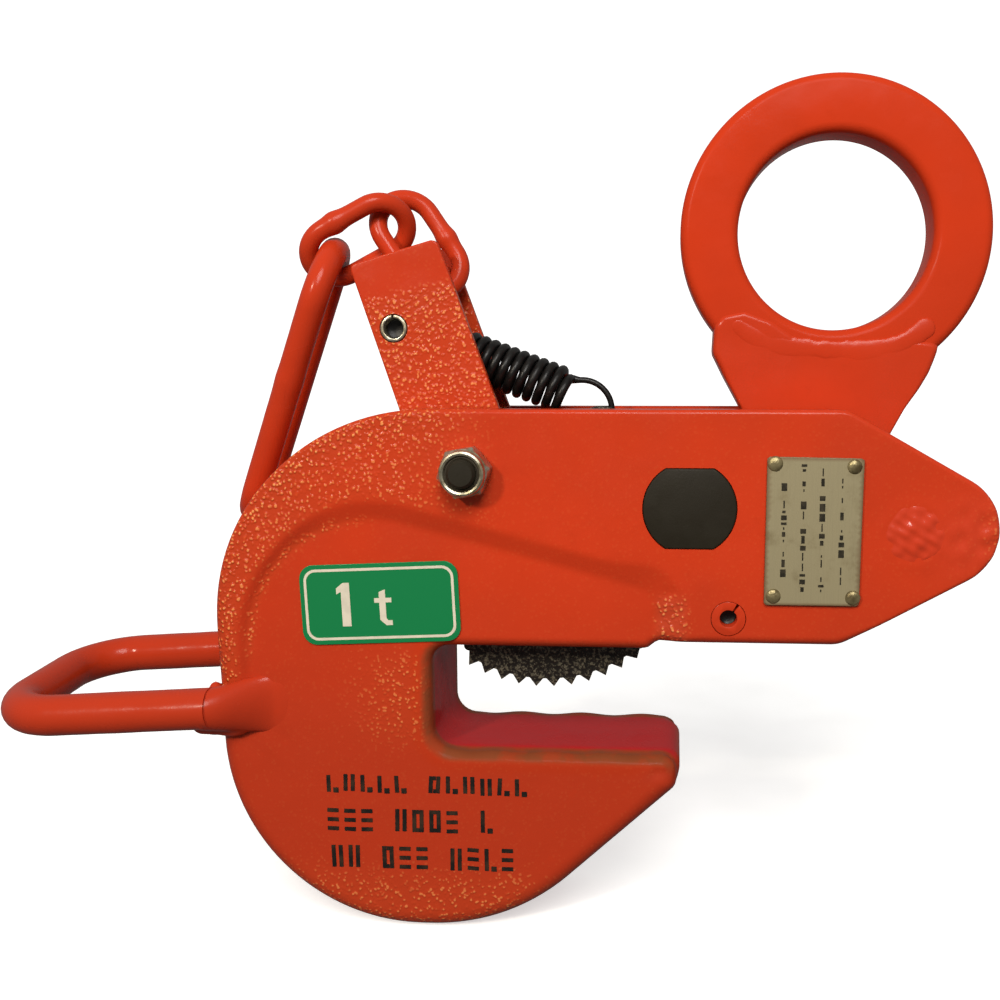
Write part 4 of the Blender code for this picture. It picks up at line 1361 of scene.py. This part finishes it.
def lever_outline():
    return rounded([
        (-61.0, 137.0, 1.5),
        (-36.1, 144.2, 2.0),
        (-8.0, 67.4, 12.6),
        (-38.6, 67.4, 12.6),
        (-43.2, 84.0, 12.0),
    ], 5.0)


class CLAMP_OT_lever(bpy.types.Operator):
    """Build the two plates of the lock lever and finish its pins"""
    bl_idname = "clamp.lever"
    bl_label = "Lock lever"

    def execute(self, context):
        paint = finish_of("orange_enamel")
        half_plate = 1.5
        middle = 8.3 + half_plate
        holes = [circle(LEVER_BOLT, BOLT_RADIUS + GAP), circle(SPRING_PIN, SPRING_PIN_RADIUS + GAP)]

        def hammered(x, y, z):
            return 0.04 + 0.66 * smooth_step(128.5, 124.0, z - (x + 57.8) * 0.22)

        for side, where in ((-1, "front"), (1, "rear")):
            plate = slab(f"lever_{where}", lever_outline(), paint, 1.1, same(0.55), same(half_plate),
                         None, 3)
            move_y(plate, side * middle)
            cut(plate, holes)
            write_mask(plate, "cast", hammered)
            shade(plate, 38.0)
            settle(plate, [f"lever_{where}_plate"])
        rolled_pin("slotted_spring_pin", "lever_spring_pin", SPRING_PIN, (2.85, SPRING_PIN_RADIUS),
                   11.5, 95.0,
                   finish_of("zinc_plate"))
        repaint(paint, "lever_cross_bar")
        repaint(finish_of("zinc_plate"), "lever_bush")
        return {"FINISHED"}


class CLAMP_OT_bolt(bpy.types.Operator):
    """Build the lever's bolt, its lock nut and the nylon ring"""
    bl_idname = "clamp.bolt"
    bl_label = "Bolt and lock nut"

    def execute(self, context):
        zinc = finish_of("zinc_plate")
        face = NUT_FACE
        corner = NUT_ACROSS / math.sqrt(3.0)

        def nut_section(angle, radius, row):
            return min(radius, hex_reach(angle, NUT_ACROSS, 10.0)) if row in (0, 1, 2, 3) else radius

        rows = [(corner - 0.6, face), (corner + 0.1, face + 0.7), (corner + 0.1, face + 5.2),
                (corner - 0.9, face + 6.1), (6.3, face + 6.35), (6.25, face + 7.6), (6.0, face + 8.1),
                (5.5, face + 8.3), (5.0, face + 8.1), (4.75, face + 7.5), (4.6, face + 6.0)]
        nut = turned("lever_lock_nut", LEVER_BOLT, [(r, -y) for r, y in rows], zinc, 96, nut_section,
                     28.0)
        settle(nut, ["lock_nut"])
        ring_rows = [(4.7, face + 6.0), (4.74, face + 7.2), (4.3, face + 7.5), (3.9, face + 7.2),
                     (3.9, face + 6.0)]
        nylon = turned("nut_insert", LEVER_BOLT, [(r, -y) for r, y in ring_rows],
                       finish_of("nylon_ring"), 64)
        settle(nylon, ["nut_nylon_ring"])

        def head_section(angle, radius, row):
            return min(radius, hex_reach(angle, NUT_ACROSS, 0.0)) if row >= head_start else radius

        shaft = [(1.2, -32.8), (3.2, -32.75), (3.9, -31.9)]
        thread_from, pitch = -31.4, 1.25
        for k in range(6):
            shaft += [(3.98, thread_from + pitch * k), (3.55, thread_from + pitch * (k + 0.5))]
        shaft += [(4.0, -23.6), (4.0, face)]
        head_start = len(shaft)
        shaft += [(corner - 0.1, face + 0.05), (corner + 0.1, face + 0.3), (corner + 0.1, face + 4.7),
                  (corner - 1.0, face + 5.45), (4.6, face + 5.5), (4.4, face + 5.2), (1.0, face + 5.1)]
        bolt = turned("lever_bolt", LEVER_BOLT, shaft, finish_of("blackened_steel"), 96, head_section,
                      28.0)
        settle(bolt, ["pivot_bolt"])
        return {"FINISHED"}


class CLAMP_OT_spring(bpy.types.Operator):
    """Wind the tension spring with its two hooks"""
    bl_idname = "clamp.spring"
    bl_label = "Tension spring"

    def execute(self, context):
        sizes = context.scene.clamp_wire
        slope = math.radians(-20.5)
        along = Vector((math.cos(slope), 0.0, math.sin(slope)))
        up = Vector((-math.sin(slope), 0.0, math.cos(slope)))
        rear = Vector((0.0, 1.0, 0.0))
        pin = Vector((SPRING_PIN[0], 0.0, SPRING_PIN[1]))
        start = pin + along * 9.0
        route = []
        hook_radius, hook_wire, coil_wire = 6.0, 0.8, 1.24
        hook_steps, end_steps = 24, 36
        per_turn, pitch, coil_radius = 28, 3.0, 5.6
        hook = pin + along * 0.8
        for k in range(hook_steps + 1):
            angle = math.radians(-40.0 - 10.0 * k)
            route.append(hook + (along * math.cos(angle) + up * math.sin(angle)) * hook_radius)
        count = per_turn * sizes.spring_turns
        for k in range(count + 1):
            angle = 2 * math.pi * k / per_turn
            radius = coil_radius - 1.75 * max(0.0, 1.0 - (count - k) / 9.0)
            out = (up * math.cos(angle) + rear * math.sin(angle)) * radius
            route.append(start + along * (pitch * k / per_turn) + out)
        for x, z in arc(3.9, 96.3, 8.6, 94.0, -120.0, end_steps):
            route.append(Vector((x, 0.0, z)))
        swell = [hook_wire] * (hook_steps + 1) + [coil_wire] * (count + 1)
        swell += [hook_wire] * (end_steps + 1)
        spring = wire("wound_spring", route, sizes.spring_wire, finish_of("spring_black"), False,
                      swell, 12, 0.0, 1.0)
        settle(spring, ["tension_spring"])
        return {"FINISHED"}


class CLAMP_OT_chain(bpy.types.Operator):
    """Bend the two chain links and the long pull loop"""
    bl_idname = "clamp.chain"
    bl_label = "Chain and pull loop"

    def execute(self, context):
        sizes = context.scene.clamp_wire
        paint = finish_of("orange_enamel")
        link = stadium(sizes.link_length, sizes.link_width, sizes.link_wire)
        loop = stadium(sizes.loop_length, sizes.loop_width, sizes.loop_wire, 28, 60)
        plan = [
            ("chain_link_1", "first_chain_link", link, (-42.9, -1.3, 143.4), (123.8, 1.4, 26.1),
             sizes.link_wire, weld_swell(link, -1, -2.0, 2.2, 0.2), 3.0),
            ("chain_link_2", "second_chain_link", link, (-59.8, -5.1, 144.5), (28.9, 6.1, 40.1),
             sizes.link_wire, weld_swell(link, 1, -3.0, 2.4, 0.22), 5.0),
            ("long_loop", "pull_loop", loop, (-82.4, 2.5, 103.5), (66.4, -14.2, 101.9),
             sizes.loop_wire, weld_swell(loop, 1, 6.0, 3.0, 0.04), 8.0),
        ]
        for name, node, shape, centre, turns, radius, swell, seed in plan:
            piece = wire(name, laid(shape, centre, *turns), radius, paint, True, swell, 22, 0.035, seed)
            settle(piece, [node])
        return {"FINISHED"}


def ribbon(name, loop_out, loop_in, y, depth, material):
    """Thin closed frame between two outlines of the same length, on a front face."""
    bm = bmesh.new()
    rings = []
    for loop, at in ((loop_out, y), (loop_out, y - depth), (loop_in, y - depth), (loop_in, y)):
        rings.append([bm.verts.new((x, at, z)) for x, z in loop])
    count = len(loop_out)
    for first, second in zip(rings, rings[1:] + rings[:1]):
        for i in range(count):
            j = (i + 1) % count
            bm.faces.new((first[i], first[j], second[j], second[i]))
    return add_bmesh(name, bm, material)


def strokes(name, boxes, y, depth, material, soften=0.12):
    """Thin raised strokes on a front face, one for each (x, z, width, height, turn)."""
    bm = bmesh.new()
    for x, z, width, height, turn in boxes:
        place = (Matrix.Translation((x, y - depth / 2, z)) @ Matrix.Rotation(turn, 4, "Y")
                 @ Matrix.Diagonal((width, depth, height, 1.0)))
        bmesh.ops.create_cube(bm, size=1.0, matrix=place)
    bmesh.ops.bevel(bm, geom=[e for e in bm.edges], offset=min(soften, depth * 0.45), segments=2,
                    affect="EDGES")
    return add_bmesh(name, bm, material)


def stamped_cell(kind, x, z, height, lean):
    """Strokes of one stamped mark: a box, two bars, three dashes or a bar and a dot."""
    wide, thick = 3.3, 1.2
    side, top = (wide - thick) / 2, (height - thick) / 2
    if kind == 0:
        return [(x - side, z, thick, height, lean), (x + side, z, thick, height, lean),
                (x, z + top, wide - 2 * thick, thick, lean),
                (x, z - top, wide - 2 * thick, thick, lean)]
    if kind == 1:
        return [(x - side, z, thick, height, lean), (x + side, z, thick, height, lean)]
    if kind == 2:
        return [(x, z + shift, wide, thick, lean) for shift in (-top, 0.0, top)]
    return [(x - side, z, thick, height, lean), (x + side, z - top, thick * 1.3, thick * 1.3, lean)]


def label_place(x, z):
    turn = Matrix.Rotation(math.radians(LABEL_TURN_DEG), 2) @ Vector((x, z))
    return (turn.x + LABEL_CENTRE[0], turn.y + LABEL_CENTRE[1])


def label_outline(half_x, half_z, radius):
    corners = ((-half_x, -half_z), (half_x, -half_z), (half_x, half_z), (-half_x, half_z))
    return rounded([(*label_place(x, z), radius) for x, z in corners], 6.0)


class CLAMP_OT_plates(bpy.types.Operator):
    """Build the name plate with its rivets and ruled marks, and the capacity label"""
    bl_idname = "clamp.plates"
    bl_label = "Name plate and label"

    def execute(self, context):
        self.name_plate()
        self.label()
        self.stamped_marks()
        return {"FINISHED"}

    def name_plate(self):
        x0, z0, x1, z1 = PLATE_BOX
        outline = rounded([(x0, z0, 0.7), (x1 - 0.6, z0, 0.7), (x1, z1 - 0.4, 0.7),
                           (x0 + 0.4, z1, 0.7)], 15.0)
        metal = finish_of("name_plate_metal")
        plate = slab("stamped_plate", outline, metal, 1.0, same(0.22),
                     lambda x, z: 0.42 + 0.05 * ripple(x, z, 30.0, 2.0), same(0.4), 2)
        move_y(plate, -PLATE_FACE)

        def worn_rim(x, y, z):
            return 0.75 * smooth_step(0.75, 0.2, distance_to(np.column_stack((x, z)), outline))

        write_mask(plate, "edge", worn_rim)
        shade(plate, 40.0)
        settle(plate, ["name_plate"])
        heads = bpy.data.meshes.new("plate_rivets")
        heads.from_pydata([(x * MM, -RIVET_FACE * MM, z * MM) for x, z in RIVETS], [], [])
        tarnished = finish_of("rivet_metal")
        rivets = add_object("plate_rivets", heads, tarnished)
        run_tree(rivets, rivet_tree(), Head_radius=1.95 * MM, Head_height=0.42, Seed=3,
                 Material=tarnished)
        outward(rivets)
        shade(rivets, 50.0)
        settle(rivets, [f"plate_rivet_{k + 1}" for k in range(4)])
        rng = np.random.default_rng(5)
        boxes = []
        columns = ((60.2, 52.0, 76.0), (65.4, 48.0, 82.0), (70.4, 48.0, 82.0), (75.6, 50.0, 78.0))
        for x, start, end in columns:
            z = start
            while z < end:
                length = float(rng.choice((0.7, 1.3, 2.1)))
                boxes.append((x, z + length / 2, float(rng.choice((0.35, 0.9, 1.5))), length, 0.0))
                z += length + float(rng.choice((0.6, 0.8, 2.6)))
        marks = strokes("plate_marks", boxes, -RIVET_FACE - 0.02, 0.1, finish_of("plate_ink"), 0.03)
        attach(marks, body_of("name_plate"))

    def label(self):
        face = -WEB_HALF - 0.12
        half_thick = 0.2
        back = slab("green_label", label_outline(22.6, 11.4, 4.0), finish_of("label_green"), 1.2,
                    same(0.12), same(half_thick), None, 2)
        move_y(back, face - half_thick)
        shade(back, 40.0)
        settle(back, ["capacity_label"])
        cream = finish_of("label_cream")
        border = ribbon("label_border", label_outline(21.35, 10.15, 3.4), label_outline(20.6, 9.4, 2.7),
                        face - 0.36, 0.1, cream)
        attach(border, body_of("capacity_label"))
        figure = [(-8.4, -6.3), (-8.4, 6.1), (-10.2, 6.1), (-12.2, 4.6), (-12.2, 2.9), (-10.9, 3.6),
                  (-10.9, -6.3)]
        unit = [(1.6, -6.3), (3.4, -6.3), (3.4, -4.9), (2.2, -4.9), (1.7, -4.3), (1.7, 0.2),
                (3.4, 0.2), (3.4, 1.5), (1.7, 1.5), (1.7, 3.9), (-0.1, 3.2), (-0.1, 1.5), (-1.5, 1.5),
                (-1.5, 0.2), (-0.1, 0.2), (-0.1, -4.7)]
        for name, outline in (("label_figure", figure), ("label_unit", unit)):
            mark = prism(name, [label_place(x, z) for x, z in outline], face - 0.46, face - 0.36, cream)
            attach(mark, body_of("capacity_label"))

    def stamped_marks(self):
        """Three rows of stamped bars, boxes and dots, blackened."""
        rng = np.random.default_rng(9)
        boxes = []
        rows = ((-9.9, 5.0, -66.5, 12, (5,)), (-20.6, 6.6, -66.5, 10, (3, 8)),
                (-31.6, 6.6, -65.5, 11, (2, 6)))
        for z, height, start, cells, gaps in rows:
            for k in range(cells):
                if k in gaps:
                    continue
                x = start + 4.95 * k
                lean = float(rng.normal(0.0, 0.025))
                boxes += stamped_cell(int(rng.integers(0, 4)), x, z + float(rng.normal(0.0, 0.15)),
                                      height, lean)
        marks = strokes("stamped_strokes", boxes, -WEB_HALF + 0.04, 0.2, finish_of("stamping_ink"),
                        0.07)
        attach(marks, body_of("frame_casting"))


class CLAMP_OT_stage(bpy.types.Operator):
    """Set the pale floor, the soft lights and the camera"""
    bl_idname = "clamp.stage"
    bl_label = "Stage"

    def execute(self, context):
        settings = context.scene.clamp_stage
        self.floor()
        self.lights(settings)
        self.camera(settings)
        view = context.scene.view_settings
        view.view_transform = "Standard"
        view.look = "None"
        return {"FINISHED"}

    def floor(self):
        """Pale sweep: level under the clamp and curving up far behind it, in metres."""
        level = FRAME_BOTTOM * MM - 0.0006
        front, bend_from, radius, wall_top, half = -2.2, 1.2, 0.9, 3.4, 4.5
        depth = [(front, 0.0), (bend_from, 0.0)]
        for a in np.linspace(0.1, math.pi / 2, 16):
            depth.append((bend_from + radius * math.sin(a), radius * (1 - math.cos(a))))
        depth.append((bend_from + radius, wall_top))
        vertices = [(side * half, y, level + z) for y, z in depth for side in (-1, 1)]
        faces = [(2 * k, 2 * k + 1, 2 * k + 3, 2 * k + 2) for k in range(len(depth) - 1)]
        mesh = bpy.data.meshes.new("pale_floor")
        mesh.from_pydata(vertices, [], faces)
        material, tree, shader, place = new_material("pale_paper")
        grain = noise_at(tree, place, 40.0, 4.0, 0.6)
        colour = mix_colour(tree, span(tree, grain, 0.35, 0.7), (0.93, 0.93, 0.925),
                            (0.90, 0.90, 0.895))
        feed(shader, "Base Color", colour)
        shader.inputs["Roughness"].default_value = 0.9
        shader.inputs["Specular IOR Level"].default_value = 0.1
        feed(shader, "Emission Color", colour)
        split = add_node(tree, "ShaderNodeSeparateXYZ", {0: place})
        feed(shader, "Emission Strength", span(tree, split.outputs[1], -0.1, 1.0, 0.6, 0.95))
        floor = add_object("pale_floor", mesh, material)
        floor.data.shade_smooth()
        floor.visible_diffuse = False
        floor.visible_glossy = False

    def lights(self, settings):
        world = bpy.data.worlds.new("soft_room")
        bpy.context.scene.world = world
        world.use_nodes = True
        tree = world.node_tree
        back = tree.nodes["Background"]
        place = tree.nodes.new("ShaderNodeTexCoord")
        split = add_node(tree, "ShaderNodeSeparateXYZ", {0: place.outputs["Generated"]})
        sky = span(tree, split.outputs[2], -0.6, 0.8, settings.room * 0.5, settings.room * 1.3)
        tree.links.new(sky, back.inputs["Strength"])
        back.inputs["Color"].default_value = (1.0, 0.985, 0.96, 1.0)
        plan = (
            ("key_light", (0.10, -0.85, 0.70), 0.5, settings.key_power, (1.0, 0.965, 0.92)),
            ("side_light", (-0.50, -0.95, 0.52), 0.12, settings.side_power, (1.0, 0.90, 0.74)),
        )
        for name, spot, size, power, colour in plan:
            light = bpy.data.lights.new(name, "AREA")
            light.shape = "DISK"
            light.size = size
            light.energy = power
            light.color = colour
            lamp = bpy.data.objects.new(name, light)
            bpy.context.scene.collection.objects.link(lamp)
            lamp.location = spot
            towards = Vector(LIGHTS_AIM) - Vector(spot)
            lamp.rotation_euler = towards.to_track_quat("-Z", "Y").to_euler()

    def camera(self, settings):
        """Level eye slightly above the jaw, turned a little to the left."""
        lens = bpy.data.cameras.new("view")
        lens.lens = settings.lens
        lens.sensor_width = 36.0
        lens.shift_x = CAMERA_SHIFT
        lens.clip_start = 0.01
        camera = bpy.data.objects.new("view", lens)
        bpy.context.scene.collection.objects.link(camera)
        camera.location = CAMERA_PLACE
        camera.rotation_euler = (math.radians(CAMERA_TILT_DEG), 0.0, math.radians(CAMERA_TURN_DEG))
        bpy.context.scene.camera = camera


class CLAMP_PT_panel(bpy.types.Panel):
    """Sizes, colours and build steps of the lifting clamp"""
    bl_idname = "CLAMP_PT_panel"
    bl_label = "Lifting clamp"
    bl_space_type = "VIEW_3D"
    bl_region_type = "UI"
    bl_category = "Lifting clamp"

    def draw(self, context):
        layout = self.layout
        for name in GROUPS:
            group = getattr(context.scene, name)
            box = layout.box()
            box.label(text=name.replace("clamp_", "").capitalize())
            for key in group.__annotations__:
                box.prop(group, key)
        for operator in BUILD_ORDER:
            layout.operator(operator.bl_idname)


GROUPS = {
    "clamp_paint": PaintSettings,
    "clamp_metal": MetalSettings,
    "clamp_label": LabelSettings,
    "clamp_casting": CastingSettings,
    "clamp_wire": WireSettings,
    "clamp_stage": StageSettings,
}
BUILD_ORDER = (
    CLAMP_OT_finishes, CLAMP_OT_casting, CLAMP_OT_nose_welds, CLAMP_OT_handle, CLAMP_OT_pins,
    CLAMP_OT_ring, CLAMP_OT_lever, CLAMP_OT_bolt, CLAMP_OT_spring, CLAMP_OT_chain, CLAMP_OT_plates,
    CLAMP_OT_stage,
)


def register():
    for group in GROUPS.values():
        bpy.utils.register_class(group)
    for name, group in GROUPS.items():
        setattr(bpy.types.Scene, name, PointerProperty(type=group))
    for operator in BUILD_ORDER:
        bpy.utils.register_class(operator)
    bpy.utils.register_class(CLAMP_PT_panel)


def unregister():
    bpy.utils.unregister_class(CLAMP_PT_panel)
    for operator in reversed(BUILD_ORDER):
        bpy.utils.unregister_class(operator)
    for name, group in GROUPS.items():
        delattr(bpy.types.Scene, name)
        bpy.utils.unregister_class(group)


def main():
    register()
    for operator in BUILD_ORDER:
        area, name = operator.bl_idname.split(".")
        getattr(getattr(bpy.ops, area), name)()


if __name__ == "__main__":
    main()
